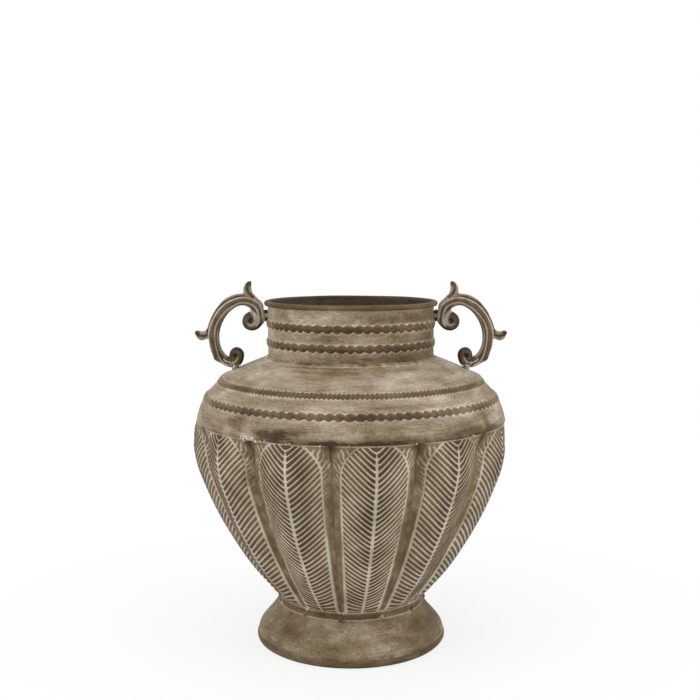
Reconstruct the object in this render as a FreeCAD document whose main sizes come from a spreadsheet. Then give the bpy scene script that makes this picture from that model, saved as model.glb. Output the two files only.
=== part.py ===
import FreeCAD, Part
import os
import re

import Sketcher

# A sheet-metal urn: twelve pressed gores welded into a lobed bowl, a spun shoulder and neck with
# swaged beads, a spun foot, and two cast scroll handles welded to the neck and the shoulder.
# Millimetres. +Z is up, the origin is on the ground under the middle of the foot, the front is -Y
# and the handles stand at -X and +X.

# Driving sizes. Radii are to the outside of the metal. Each rise is counted from the level below,
# and each span of the shoulder from the one inside it, starting at the neck.
SIZES = {
    "sheet_gauge": 1.2,  # thickness of all the sheet metal
    "seam_gap": 0.3,  # between two pieces that are welded edge to edge or slipped together
    # bowl of gores
    "gore_count": 12,
    "gore_turn": 8.3,  # degrees from the front to the middle of the first gore, towards +X
    "waist_radius": 71.0,
    "waist_height": 38.0,
    "lip_height": 8.0,  # upright lip of each gore round the collar of the foot
    "belly_rise": 146.0,  # from the lip of the gores up to their widest place
    "lobe_depth": 13.0,  # how far the valley between two gores lies behind their middles
    "belly_span": 3.0,  # how much wider than the seam the belly is
    "seam_rise": 25.0,
    # shoulder
    "side_rise": 23.5,  # up to the corner under the lower bead, where the steep side ends
    "side_span": 9.0,
    "side_bulge": 1.2,  # how far the steep side swells out of its chord
    "bend_rise": 16.8,  # up to the corner under the upper bead, where the shallow top begins
    "bend_span": 15.5,
    "top_rise": 18.5,
    "top_span": 43.0,
    "top_margin": 1.2,  # from the neck to the end of the shallow top
    # neck and mouth
    "neck_radius": 79.3,
    "neck_insert": 5.0,  # length of neck that goes down through the shoulder
    "neck_rise": 53.7,
    "rim_wire": 2.4,  # diameter of the wire in the rolled rim
    # swaged beads
    "bead_width": 6.4,
    "bead_rise": 1.5,  # how far a bead on the neck stands out
    "lower_bead_rise": 14.7,  # middle of the bead, above the shoulder
    "bead_spacing": 17.5,
    "shoulder_bead_width": 7.0,
    "shoulder_bead_bulge": 2.0,
    # foot
    "foot_radius": 91.8,
    "foot_wire": 5.6,  # diameter of the wire in the rolled edge of the foot
    "foot_flat": 2.4,  # width of the band that the rolled edge stands on
    "flare_turn": 50.0,  # degrees up the rolled edge to the place where the flare leaves it
    "collar_length": 10.0,  # upright collar, on which the floor of the bowl lies
    # handles
    "handle_stand": 3.5,  # from the neck to the nearest point of the casting
    "handle_reach": 66.8,
    "handle_rise": 82.5,
    "handle_thickness": 8.0,
    "handle_rib": 1.0,  # how far the rib along the scroll stands out of each side
    "eye_radius": 2.0,  # pits in the middle of the two volutes
    "eye_depth": 2.5,
    # welds
    "solder_leg": 1.6,  # fillet of solder between the neck and the shoulder
    "neck_weld_height": 4.2,
    "neck_weld_width": 5.0,
    "pad_width": 8.0,  # of the weld under a handle's lower volute
    "pad_height": 0.9,  # of that weld, at its end nearest to the neck
    "weld_play": 0.1,  # left between a weld and the piece that it is set on
    "wire_play": 0.3,  # left round a wire
}

# Ends of the weld under a handle, as shares of the handle's reach.
PAD_NEAR_SHARE = 0.36
PAD_FAR_SHARE = 0.437

FULL_TURN = 360  # degrees

# Sizes that follow from others.
DERIVED = {
    "gore_pitch": f"{FULL_TURN} / gore_count",
    "lobe_start": "waist_height + lip_height",
    "lip_radius": "waist_radius + seam_gap",
    "collar_radius": "lip_radius - sheet_gauge - seam_gap",
    "collar_height": "waist_height + collar_length",
    "belly_height": "lobe_start + belly_rise",
    "seam_height": "belly_height + seam_rise",
    "gore_top": "seam_height - seam_gap",
    "side_height": "seam_height + side_rise",
    "bend_height": "side_height + bend_rise",
    "top_height": "bend_height + top_rise",
    "top_radius": "neck_radius + top_margin",
    "bend_radius": "top_radius + top_span",
    "side_radius": "bend_radius + bend_span",
    "seam_radius": "side_radius + side_span",
    "belly_radius": "seam_radius + belly_span",
    "top_slope": "top_rise / top_span",
    "hole_radius": "neck_radius + seam_gap",
    "hole_height": "top_height + top_slope * (top_radius - hole_radius)",
    "neck_bore": "neck_radius - sheet_gauge",
    "neck_foot": "top_height - neck_insert",
    "lower_bead": "top_height + lower_bead_rise",
    "upper_bead": "lower_bead + bead_spacing",
    "rim_height": "top_height + neck_rise",
    "roll_radius": "rim_wire / 2 + sheet_gauge",
    "roll_middle": "neck_bore + roll_radius",
    "roll_height": "rim_height - roll_radius",
    "edge_radius": "foot_wire / 2 + sheet_gauge",
    "edge_middle": "foot_radius - edge_radius",
    "handle_near": "neck_radius + handle_stand",
    "pad_near": f"handle_near + {PAD_NEAR_SHARE} * handle_reach",
    "pad_far": f"handle_near + {PAD_FAR_SHARE} * handle_reach",
    "handle_base": "top_height - top_slope * (pad_near - top_radius) + pad_height",
}

# Stations of a gore from its lip up to the belly, and on up to the seam: share of the height, share
# of the radius between the two ends, and share of the lobe's full depth.
LOWER_STATION_SHARES = (
    (0, 0, 0),
    (0.03, 0.065, 0.1),
    (0.07, 0.13, 0.26),
    (0.14, 0.235, 0.46),
    (0.26, 0.39, 0.68),
    (0.425, 0.575, 0.85),
    (0.59, 0.735, 0.95),
    (0.755, 0.865, 1),
    (0.88, 0.95, 1),
    (1, 1, 1),
)
UPPER_STATION_SHARES = (
    (0.48, 0.37, 0.8),
    (0.8, 0.75, 0.3),
    (1, 1, 0),
)

# Outline of a handle: shares of its reach away from the neck and of its rise. Each row is the end
# of one edge, and an arc has a point on its way first. The neck side comes first, then the upper
# volute, the inside of the scroll, the lower volute, the outside with its leaf, and the top leaf.
HANDLE_START_SHARE = (0.028, 0.737)
HANDLE_OUTLINE_SHARES = (
    ((0, 0.64),),
    ((0, 0.565),),
    ((0.021, 0.473), (0.151, 0.413)),
    ((0.272, 0.451), (0.31, 0.527)),
    ((0.275, 0.596), (0.186, 0.63)),
    ((0.225, 0.679), (0.302, 0.702)),
    ((0.461, 0.652), (0.578, 0.544)),
    ((0.638, 0.383), (0.609, 0.238)),
    ((0.561, 0.16), (0.494, 0.119)),
    ((0.473, 0.188), (0.397, 0.219)),
    ((0.311, 0.179), (0.284, 0.116)),
    ((0.292, 0.05), (0.34, 0)),
    ((0.437, 0),),
    ((0.584, 0.018), (0.71, 0.079)),
    ((0.76, 0.187), (0.789, 0.303)),
    ((0.898, 0.299), (0.981, 0.35)),
    ((1, 0.39), (0.975, 0.418)),
    ((0.901, 0.407), (0.834, 0.413)),
    ((0.778, 0.553), (0.677, 0.68)),
    ((0.536, 0.79), (0.347, 0.844)),
    ((0.293, 0.855),),
    ((0.292, 0.921), (0.249, 0.975)),
    ((0.216, 1), (0.183, 0.984)),
    ((0.171, 0.94), (0.181, 0.9)),
    ((0.117, 0.815), (0.028, 0.737)),
)
# Outline of the rib that runs along the scroll, from the upper volute to the lower one and back.
RIB_START_SHARE = (0.042, 0.553)
RIB_OUTLINE_SHARES = (
    ((0.07, 0.704), (0.337, 0.806)),
    ((0.596, 0.708), (0.731, 0.536)),
    ((0.756, 0.377), (0.728, 0.221)),
    ((0.662, 0.096), (0.452, 0.015)),
    ((0.44, 0.075),),
    ((0.584, 0.136), (0.651, 0.24)),
    ((0.677, 0.381), (0.647, 0.514)),
    ((0.53, 0.655), (0.341, 0.733)),
    ((0.156, 0.669), (0.121, 0.565)),
    ((0.042, 0.553),),
)
VOLUTE_EYE_SHARES = ((0.189, 0.532), (0.418, 0.12))
NECK_WELD_SHARE = 0.6  # height of the middle of the weld at the neck

AXIS = FreeCAD.Vector(0, 0, 1)
ORIGIN = FreeCAD.Vector(0, 0, 0)
UPRIGHT = FreeCAD.Rotation(FreeCAD.Vector(1, 0, 0), FULL_TURN / 4)
EIGHTH = f"{FULL_TURN / 8}deg"  # halfway round a quarter turn

doc = FreeCAD.newDocument("urn_vase")
sheet = doc.addObject("Spreadsheet::Sheet", "sizes")


def fill_sheet():
    rows = list(SIZES.items()) + [(name, "=" + text) for name, text in DERIVED.items()]
    for row, (name, value) in enumerate(rows, start=1):
        sheet.set(f"A{row}", name)
        sheet.set(f"B{row}", str(value))
        sheet.setAlias(f"B{row}", name)
    doc.recompute()


def bound(text):
    """An expression over the names of the sheet, written without the sheet's own name."""
    return re.sub(
        r"[a-z_]+",
        lambda m: "sizes." + m.group() if m.group() in SIZES or m.group() in DERIVED else m.group(),
        str(text),
    )


def value_of(text):
    value = sheet.evalExpression(bound(text))
    return float(getattr(value, "Value", value))


def bind(thing, **expressions):
    for name, text in expressions.items():
        thing.setExpression(name, bound(text))


def tie_point(sketch, geometry, position, place):
    """Hold one point of a sketch at the two expressions in place."""
    for kind, text in zip(("DistanceX", "DistanceY"), place):
        value = value_of(text)
        if value < 0:
            ends, text, value = (geometry, position, -1, 1), f"-({text})", -value
        else:
            ends = (-1, 1, geometry, position)
        number = sketch.addConstraint(Sketcher.Constraint(kind, *ends, value))
        sketch.setExpression(f"Constraints[{number}]", bound(text))


def draw(sketch, start, edges, closed=False):
    """Draw lines and arcs from point to point. An edge is (end,) or (point on the arc, end)."""
    first = place = start
    previous = None
    for edge in edges:
        here = FreeCAD.Vector(*map(value_of, place), 0)
        end = FreeCAD.Vector(*map(value_of, edge[-1]), 0)
        if len(edge) == 1:
            number = sketch.addGeometry(Part.LineSegment(here, end))
            tail, head = 1, 2
        else:
            middle = FreeCAD.Vector(*map(value_of, edge[0]), 0)
            leftward = (middle - here).cross(end - middle).z > 0
            ends = (here, end) if leftward else (end, here)
            number = sketch.addGeometry(Part.Arc(ends[0], middle, ends[1]))
            tail, head = (1, 2) if leftward else (2, 1)
            spot = sketch.addGeometry(Part.Point(middle), True)
            sketch.addConstraint(Sketcher.Constraint("PointOnObject", spot, 1, number))
            tie_point(sketch, spot, 1, edge[0])
        if previous is None:
            opening = (number, tail)
            tie_point(sketch, number, tail, place)
        else:
            sketch.addConstraint(Sketcher.Constraint("Coincident", *previous, number, tail))
        previous = (number, head)
        place = edge[-1]
        if not (closed and place == first):
            tie_point(sketch, number, head, place)
    if closed:
        sketch.addConstraint(Sketcher.Constraint("Coincident", *previous, *opening))


def upright_sketch(name):
    sketch = doc.addObject("Sketcher::SketchObject", name)
    sketch.Placement = FreeCAD.Placement(ORIGIN, UPRIGHT)
    return sketch


def ring(name, start, edges):
    """A spun piece: the path is one face of the sheet, with the metal on the right of its way."""
    path = upright_sketch(name + "_path")
    draw(path, start, edges)
    band = doc.addObject("Part::Offset2D", name + "_section")
    band.Source = path
    band.Mode = "Skin"
    band.Join = "Arc"
    band.Fill = True
    bind(band, Value="-sheet_gauge")
    return turned(name, band)


def turned(name, source, angle=FULL_TURN):
    spun = doc.addObject("Part::Revolution", name)
    spun.Source = source
    spun.Base = ORIGIN
    spun.Axis = AXIS
    spun.Solid = True
    spun.Angle = angle
    return spun


def body_sketch(body, role, name):
    plane = next(feature for feature in body.Origin.OriginFeatures if feature.Role == role)
    sketch = body.newObject("Sketcher::SketchObject", name)
    sketch.AttachmentSupport = [(plane, "")]
    sketch.MapMode = "FlatFace"
    return sketch


def copy_of(original, name, angle):
    """The same piece again, turned about the axis of the urn."""
    again = doc.addObject("Part::Compound", name)
    again.Links = [original]
    again.Placement = FreeCAD.Placement(ORIGIN, FreeCAD.Rotation(AXIS, 0))
    bind(again, **{"Placement.Rotation.Angle": angle})
    return again


def stations():
    """Height, crest radius and valley radius of each section of a gore, as expressions."""
    rows = []
    for height, radius, depth in LOWER_STATION_SHARES:
        level = f"lobe_start + {height} * (belly_height - lobe_start)"
        crest = f"lip_radius + {radius} * (belly_radius - lip_radius)"
        rows.append((level, crest, f"{crest} - {depth} * lobe_depth"))
    for height, radius, depth in UPPER_STATION_SHARES:
        level = f"belly_height + {height} * (gore_top - belly_height)"
        crest = f"belly_radius + {radius} * (seam_radius - belly_radius)"
        rows.append((level, crest, f"{crest} - {depth} * lobe_depth"))
    return rows


def gore_section(body, number, level, crest, valley):
    """Cross-section of the pressed sheet at one level, with the middle of the gore on +X."""
    sketch = body_sketch(body, "XY_Plane", f"gore_section_{number}")
    bind(sketch, **{"AttachmentOffset.Base.z": level})
    side = "(seam_gap / 2)"
    turn = "(gore_pitch / 2 * 1deg)"

    def corner(radius, way):
        return (
            f"({radius}) * cos{turn} + {side} * sin{turn}",
            f"{way} * (({radius}) * sin{turn} - {side} * cos{turn})",
        )

    inner_valley = f"{valley} - sheet_gauge"
    inner_crest = f"{crest} - sheet_gauge"
    edges = [
        ((crest, "0"), corner(valley, 1)),
        (corner(inner_valley, 1),),
        ((inner_crest, "0"), corner(inner_valley, -1)),
        (corner(valley, -1),),
    ]
    draw(sketch, corner(valley, -1), edges, closed=True)
    return sketch


def make_gore_pattern():
    body = doc.addObject("PartDesign::Body", "gore_pattern")
    sections = [gore_section(body, i, *row) for i, row in enumerate(stations(), start=1)]
    lobe = body.newObject("PartDesign::AdditiveLoft", "gore_lobe")
    lobe.Profile = sections[0]
    lobe.Sections = sections[1:]
    lobe.Ruled = False
    doc.recompute()
    lip = body.newObject("PartDesign::Pad", "gore_lip")
    lip.Profile = sections[0]
    lip.Reversed = True
    bind(lip, Length="lip_height")
    return body


def make_gores():
    pattern = make_gore_pattern()
    count = int(SIZES["gore_count"])
    return [
        copy_of(pattern, f"gore_{i + 1:02d}", f"gore_turn + {i} * gore_pitch - {FULL_TURN / 4}")
        for i in range(count)
    ]


def distance(here, there):
    (x1, z1), (x2, z2) = here, there
    return f"sqrt((({x2}) - ({x1}))^2 + (({z2}) - ({z1}))^2)"


def along(here, there, step):
    """The point that lies one step from here on the way to there."""
    share = f"({step}) / {distance(here, there)}"
    return tuple(f"({a}) + (({b}) - ({a})) * {share}" for a, b in zip(here, there))


def bump(low, high, rise):
    """An arc from low to high that swells by rise at its middle, to the right of its way."""
    (x1, z1), (x2, z2) = low, high
    length = distance(low, high)
    middle = (
        f"(({x1}) + ({x2})) / 2 + {rise} * (({z2}) - ({z1})) / {length}",
        f"(({z1}) + ({z2})) / 2 - {rise} * (({x2}) - ({x1})) / {length}",
    )
    return (middle, high)


def make_neck():
    """The path is the inside of the neck, up to the rim and once round the wire."""
    start = ("neck_bore", "neck_foot")
    edges = []
    for bead in ("lower_bead", "upper_bead"):
        low = ("neck_bore", f"{bead} - bead_width / 2")
        high = ("neck_bore", f"{bead} + bead_width / 2")
        edges += [(low,), bump(low, high, "bead_rise")]
    edges += [
        (("neck_bore", "roll_height"),),
        (("roll_middle", "rim_height"), ("roll_middle + roll_radius", "roll_height")),
        (
            (f"roll_middle + roll_radius * cos({EIGHTH})", f"roll_height - roll_radius * sin({EIGHTH})"),
            ("roll_middle", "roll_height - roll_radius"),
        ),
    ]
    return ring("neck", start, edges)


def wire_ring(name, middle, level, diameter):
    wire = doc.addObject("Part::Torus", name)
    bind(
        wire,
        Radius1=middle,
        Radius2=f"{diameter} / 2 - wire_play",
        **{"Placement.Base.z": level},
    )
    return wire


def make_shoulder():
    """The path runs on the outside, from the hole for the neck out to the seam."""
    start = ("hole_radius", "hole_height")
    bend = ("bend_radius", "bend_height")
    side = ("side_radius", "side_height")
    seam = ("seam_radius", "seam_height")
    half_bead = "shoulder_bead_width / 2"
    edges = [(along(bend, start, half_bead),)]
    edges.append(bump(edges[-1][-1], along(bend, side, half_bead), "-shoulder_bead_bulge"))
    edges.append((along(side, bend, half_bead),))
    edges.append(bump(edges[-1][-1], along(side, seam, half_bead), "-shoulder_bead_bulge"))
    edges.append(bump(edges[-1][-1], seam, "-side_bulge"))
    return ring("shoulder", start, edges)


def make_foot():
    """The path runs on the outside: down the collar, out along the flare and round the wire."""
    start = ("collar_radius", "collar_height")
    turn = "flare_turn * 1deg"
    edges = [
        (("collar_radius", "waist_height"),),
        ((f"edge_middle + edge_radius * cos({turn})", f"edge_radius * (1 + sin({turn}))"),),
        (("edge_middle + edge_radius", "edge_radius"), ("edge_middle + foot_flat / 2", "0")),
        (("edge_middle - foot_flat / 2", "0"),),
        (
            (f"edge_middle - edge_radius * cos({EIGHTH})", f"edge_radius * (1 - sin({EIGHTH}))"),
            ("edge_middle - edge_radius", "edge_radius"),
        ),
    ]
    return ring("foot", start, edges)


def make_floor():
    disc = doc.addObject("Part::Cylinder", "bowl_floor")
    bind(
        disc,
        Radius="collar_radius",
        Height="sheet_gauge",
        **{"Placement.Base.z": "collar_height"},
    )
    return disc


def handle_point(shares):
    reach, rise = shares
    return (f"handle_near + {reach} * handle_reach", f"handle_base + {rise} * handle_rise")


def handle_plate(body, name, start, rows, thickness):
    """A plate of the casting, as thick on one side of the middle plane as on the other."""
    outline = body_sketch(body, "XZ_Plane", name + "_outline")
    edges = [tuple(handle_point(p) for p in row) for row in rows]
    draw(outline, handle_point(start), edges, closed=True)
    plate = body.newObject("PartDesign::Pad", name)
    plate.Profile = outline
    plate.Midplane = True
    bind(plate, Length=thickness)
    doc.recompute()


def sink_eyes(body, face, way):
    """Blind pits in the middle of the volutes, sunk from the face that lies at this offset."""
    sketch = body_sketch(body, "XZ_Plane", f"eyes_{face}")
    bind(sketch, **{"AttachmentOffset.Base.z": f"{way} * handle_thickness / 2"})
    for spot in VOLUTE_EYE_SHARES:
        place = handle_point(spot)
        circle = Part.Circle(FreeCAD.Vector(*map(value_of, place), 0), AXIS, value_of("eye_radius"))
        number = sketch.addGeometry(circle)
        tie_point(sketch, number, 3, place)
        size = sketch.addConstraint(Sketcher.Constraint("Radius", number, value_of("eye_radius")))
        sketch.setExpression(f"Constraints[{size}]", bound("eye_radius"))
    pits = body.newObject("PartDesign::Pocket", f"pits_{face}")
    pits.Profile = sketch
    pits.Reversed = way < 0
    bind(pits, Length="eye_depth")
    doc.recompute()


def make_handle():
    body = doc.addObject("PartDesign::Body", "handle_pattern")
    rib_thickness = "handle_thickness + 2 * handle_rib"
    handle_plate(body, "scroll", HANDLE_START_SHARE, HANDLE_OUTLINE_SHARES, "handle_thickness")
    handle_plate(body, "rib", RIB_START_SHARE, RIB_OUTLINE_SHARES, rib_thickness)
    sink_eyes(body, "front", 1)
    sink_eyes(body, "back", -1)
    return body


def make_neck_solder():
    """A fillet of solder in the corner between the neck and the top of the shoulder."""
    corner = ("neck_radius + weld_play", "hole_height + weld_play + top_slope * seam_gap")
    foot = (
        "neck_radius + weld_play + solder_leg",
        "hole_height + weld_play + top_slope * (seam_gap - solder_leg)",
    )
    head = (corner[0], f"{corner[1]} + solder_leg")
    section = upright_sketch("solder_section")
    draw(section, corner, [(foot,), (head,), (corner,)], closed=True)
    return turned("neck_solder", section)


def make_neck_weld():
    """A bridge of weld from the neck to the near side of the right handle."""
    weld = doc.addObject("Part::Box", "neck_weld_pattern")
    bind(
        weld,
        Length="handle_stand",
        Width="neck_weld_width",
        Height="neck_weld_height",
        **{
            "Placement.Base.x": "neck_radius",
            "Placement.Base.y": "-neck_weld_width / 2",
            "Placement.Base.z": (
                f"handle_base + {NECK_WELD_SHARE} * handle_rise - neck_weld_height / 2"
            ),
        },
    )
    return weld


def make_shoulder_weld():
    """A wedge of weld between the shoulder and the flat under the right handle's lower volute."""

    def on_shoulder(radius):
        return (radius, f"top_height + weld_play - top_slope * ({radius} - top_radius)")

    section = upright_sketch("shoulder_weld_section")
    corners = [on_shoulder("pad_near"), on_shoulder("pad_far")]
    corners += [("pad_far", "handle_base"), ("pad_near", "handle_base")]
    edges = [(corner,) for corner in corners[1:] + corners[:1]]
    draw(section, corners[0], edges, closed=True)
    weld = turned("shoulder_weld_pattern", section)
    turn = f"pad_width / pad_near * {FULL_TURN / 2} / pi"
    bind(weld, Angle=turn)
    return weld, f"-({turn}) / 2"


def both_sides(pattern, name, turn="0"):
    return [
        copy_of(pattern, name + "_right", turn),
        copy_of(pattern, name + "_left", f"{FULL_TURN / 2} + ({turn})"),
    ]


fill_sheet()
nodes = make_gores()
nodes += [make_shoulder(), make_neck(), make_neck_solder(), make_foot(), make_floor()]
nodes.append(wire_ring("rim_wire", "roll_middle", "roll_height", "rim_wire"))
nodes.append(wire_ring("foot_wire", "edge_middle", "edge_radius", "foot_wire"))
nodes += both_sides(make_handle(), "handle")
nodes += both_sides(make_neck_weld(), "neck_weld")
shoulder_weld, shoulder_weld_turn = make_shoulder_weld()
nodes += both_sides(shoulder_weld, "shoulder_weld", shoulder_weld_turn)
doc.recompute()

faults = [thing.Name for thing in doc.Objects if {"Invalid", "Error"} & set(thing.State)]
for node in nodes:
    if node.Shape.isNull() or not node.Shape.isValid():
        faults.append(node.Label)
if faults:
    raise SystemExit("these did not build: " + ", ".join(faults))

os.makedirs("parts", exist_ok=True)
for node in nodes:
    node.Shape.exportStep(os.path.join("parts", node.Label + ".step"))
    print(node.Label, len(node.Shape.Solids), "solid,", round(node.Shape.Volume), "mm3")
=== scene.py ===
import math

import bpy
import numpy as np
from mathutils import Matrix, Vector


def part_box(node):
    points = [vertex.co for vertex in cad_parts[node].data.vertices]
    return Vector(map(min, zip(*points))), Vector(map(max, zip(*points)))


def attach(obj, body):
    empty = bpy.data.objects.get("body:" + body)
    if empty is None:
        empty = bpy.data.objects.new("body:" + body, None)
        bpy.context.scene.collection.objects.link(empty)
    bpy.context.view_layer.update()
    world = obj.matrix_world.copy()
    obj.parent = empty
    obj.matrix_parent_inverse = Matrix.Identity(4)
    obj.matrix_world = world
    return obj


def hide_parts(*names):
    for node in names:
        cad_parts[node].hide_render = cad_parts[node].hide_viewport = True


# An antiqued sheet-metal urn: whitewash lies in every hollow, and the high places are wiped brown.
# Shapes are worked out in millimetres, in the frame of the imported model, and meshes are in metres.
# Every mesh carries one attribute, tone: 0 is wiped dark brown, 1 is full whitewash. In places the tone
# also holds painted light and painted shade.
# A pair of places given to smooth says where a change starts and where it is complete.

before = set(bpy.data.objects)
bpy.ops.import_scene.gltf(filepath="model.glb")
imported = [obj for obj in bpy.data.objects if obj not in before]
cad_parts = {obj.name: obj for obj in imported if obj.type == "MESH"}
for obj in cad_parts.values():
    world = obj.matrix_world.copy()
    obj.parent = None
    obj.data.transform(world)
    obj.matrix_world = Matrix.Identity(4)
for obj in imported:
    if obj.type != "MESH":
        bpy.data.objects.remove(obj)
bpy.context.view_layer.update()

MM = 0.001
FULL_TURN = 2 * math.pi

SHEET = 1.2
SEAM_GAP = 0.3

# Gores
GORE_COUNT = 12
GORE_TURN = math.radians(8.3)  # middle of the first gore, right of the front
HALF_PITCH = math.pi / GORE_COUNT
WAIST_HEIGHT = 38.0
LOBE_START = 46.0
LIP_RADIUS = 71.3
BELLY_HEIGHT = 192.0
BELLY_RADIUS = 151.0
SEAM_HEIGHT = 217.0
SEAM_RADIUS = 148.0
GORE_TOP = SEAM_HEIGHT - SEAM_GAP
LOBE_DEPTH = 13.0
# Shares of the height, the radius and the depth of the lobe, below and above the belly
LOWER_STATION_SHARES = (
    (0, 0, 0), (0.03, 0.065, 0.1), (0.07, 0.13, 0.26), (0.14, 0.235, 0.46), (0.26, 0.39, 0.68),
    (0.425, 0.575, 0.85), (0.59, 0.735, 0.95), (0.755, 0.865, 1), (0.88, 0.95, 1), (1, 1, 1),
)
UPPER_STATION_SHARES = ((0.48, 0.37, 0.8), (0.8, 0.75, 0.3), (1, 1, 0))
FULLNESS = 1.3  # how far the pressed lobes stand out below the belly
FULL_ABOVE_START = (4.0, 40.0)
FULL_BELOW_BELLY = (4.0, 24.0)
BELLY_SWELL = 0.7  # how far the lobes stand out between the belly and the seam
SWELL_BELOW_SEAM = (19.0, 12.0)
SWELL_END_BELOW_SEAM = (0.0, 8.0)
CREASE_LAP = 0.06  # how far two gores lap in the weld between them
CREASE_FILL = 4.2  # distance from the joint at which the weld between two gores runs out

# Leaf on a gore. Lengths along the leaf are counted up its midrib from the lip.
LEAF_HALF_ANGLE = math.radians(11.8)
ARCH_START = 166.0
ARCH_TOP_ANGLE = math.radians(4.9)
ARCH_POWER = 0.8
VEIN_PLACES = ((0, 7.2), (10, 54.1), (20, 106.2), (35, 187.8))  # number of the groove, length up
VEIN_BEND = 3.5
VEIN_SLOPES = ((0, 0), (6, 0.35), (14, 0.62), (40, 0.8), (60, 0.9), (80, 1.0), (150, 1.0), (190, 1.08))
VEIN_SHARES = ((0, 0.33), (40, 0.33), (90, 0.33), (190, 0.26))  # share of the pitch that is groove
VEIN_PITCH = ((0, 4.6), (60, 4.9), (130, 5.4), (195, 5.4))
MIDRIB_HALVES = ((0, 0.9), (60, 1.25), (150, 1.25), (182, 0.95), (187, 0.2), (189, -2.0))
EDGE_HALVES = ((0, 1.25), (60, 1.0), (120, 0.7), (195, 0.6))  # half width of the line round the leaf
RELIEF = 0.6
PAD_CORNER = 0.9
PAD_WALL = (-0.25, 0.45)
PAD_CROWN = 0.1
PAD_CROWN_WIDTH = 1.6
WASH_TONE = 0.9
PAD_TONE = 0.27
PAD_WASH_EDGE = (-0.08, 0.3)
MIDRIB_SHADE = 0.17
MIDRIB_SHADE_REACH = (24, 2)

# Flank of the leaf and valley between two leaves
FLANK_WIDTH = 3.6
FLANK_NARROWING = 1.2
NARROW_RUN = (150, 40)
FLANK_STEP = 0.15
FLANK_DEPTH = 0.55
FLANK_TONE = 0.44
VALLEY_TONE = 0.32
SPANDREL_TONE = 0.34
SPANDREL_RUN = (158, 170)
SPANDREL_RISE = 0.22
STROKE_PITCH = 4.2
STROKE_SLANT = 0.85
STROKE_DEPTH = 0.3
STROKE_TONE = 0.88
STROKE_END = (192, 188)
FAINT_STROKE_RUN = (108, 140)
FAINT_STROKES = 0.6

# Shoulder, neck and foot: radius and height of the corners
SIDE = (139.0, 240.5)
BEND = (123.5, 257.3)
TOP = (80.5, 275.8)
CONE_SLOPE = (TOP[1] - BEND[1]) / (BEND[0] - TOP[0])
SIDE_BULGE = 1.2
CONE_BULGE = 0.7
NECK_RADIUS = 79.3
NECK_FOOT = 270.8
NECK_BEADS = (290.5, 308.0)
RIM_HEIGHT = 329.5
ROLL_RADIUS = 2.4
FOOT_RADIUS = 91.8
EDGE_RADIUS = 4.0
FLARE_BULGE = 2.3
FLARE_LEAN = 3.1  # the larger, the lower the flare is fullest
COLLAR_HEIGHT = 48.0
COLLAR_RADIUS = 69.8


def smooth(low, high, x):
    share = np.clip((np.asarray(x, float) - low) / (high - low), 0, 1)
    return share * share * (3 - 2 * share)


def mix(first, second, share):
    return first + (second - first) * share


def table(pairs, x):
    places, values = zip(*pairs)
    return np.interp(x, places, values)


def run_along(path):
    """Length along a path at each of its points."""
    return np.concatenate([[0], np.cumsum(np.linalg.norm(np.diff(path, axis=0), axis=1))])


def turned(radius, turn, level):
    """Points round the axis."""
    return np.stack(np.broadcast_arrays(radius * np.cos(turn), radius * np.sin(turn), level), axis=-1)


def cubic(x, y):
    """A cubic spline through the points, with third derivatives that run on past both end spans."""
    x, y = np.asarray(x, float), np.asarray(y, float)
    count, span = len(x), np.diff(x)
    rise = np.diff(y) / span
    system, right = np.zeros((count, count)), np.zeros(count)
    system[0, :3] = span[1], -(span[0] + span[1]), span[0]
    system[-1, -3:] = span[-1], -(span[-1] + span[-2]), span[-2]
    for i in range(1, count - 1):
        system[i, i - 1 : i + 2] = span[i - 1], 2 * (span[i - 1] + span[i]), span[i]
        right[i] = 6 * (rise[i] - rise[i - 1])
    bend = np.linalg.solve(system, right)

    def curve(place):
        i = np.clip(np.searchsorted(x, place) - 1, 0, count - 2)
        past = place - x[i]
        slope = rise[i] - span[i] * (2 * bend[i] + bend[i + 1]) / 6
        twist = past**3 * (bend[i + 1] - bend[i]) / (6 * span[i])
        return y[i] + past * slope + past * past * bend[i] / 2 + twist

    return curve


WAVE_COUNT = 7


def waves(points, size, seed):
    """Smooth unevenness between about -1 and 1, from a few plane waves of one size in mm."""
    random = np.random.default_rng(seed)
    total = np.zeros(points.shape[:-1])
    for _ in range(WAVE_COUNT):
        way = random.normal(size=3)
        way *= FULL_TURN / (size * random.uniform(0.6, 1.6) * np.linalg.norm(way))
        total += np.sin(points @ way + random.uniform(0, FULL_TURN))
    return total / math.sqrt(WAVE_COUNT)


# Meshes

def make_object(name, points, faces, tone, material):
    mesh = bpy.data.meshes.new(name)
    mesh.from_pydata((np.asarray(points, float) * MM).tolist(), [], faces)
    mesh.validate()
    values = mesh.attributes.new("tone", "FLOAT", "POINT")
    values.data.foreach_set("value", np.asarray(tone, np.float32).ravel())
    mesh.polygons.foreach_set("use_smooth", [True] * len(mesh.polygons))
    mesh.materials.append(material)
    thing = bpy.data.objects.new(name, mesh)
    bpy.context.scene.collection.objects.link(thing)
    return thing


def show_piece(thing, slot, *nodes):
    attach(thing, "root")
    if nodes:
        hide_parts(*nodes)


def spun_faces(rows, columns, closed_loop=True):
    """Quads of a piece that goes round the axis, its rows in order round the section."""
    row = np.arange(rows if closed_loop else rows - 1)[:, None]
    column = np.arange(columns)[None, :]
    next_row, next_column = (row + 1) % rows, (column + 1) % columns
    corners = [
        row * columns + column, row * columns + next_column,
        next_row * columns + next_column, next_row * columns + column,
    ]
    return np.stack(np.broadcast_arrays(*corners), axis=-1).reshape(-1, 4).tolist()


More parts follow.
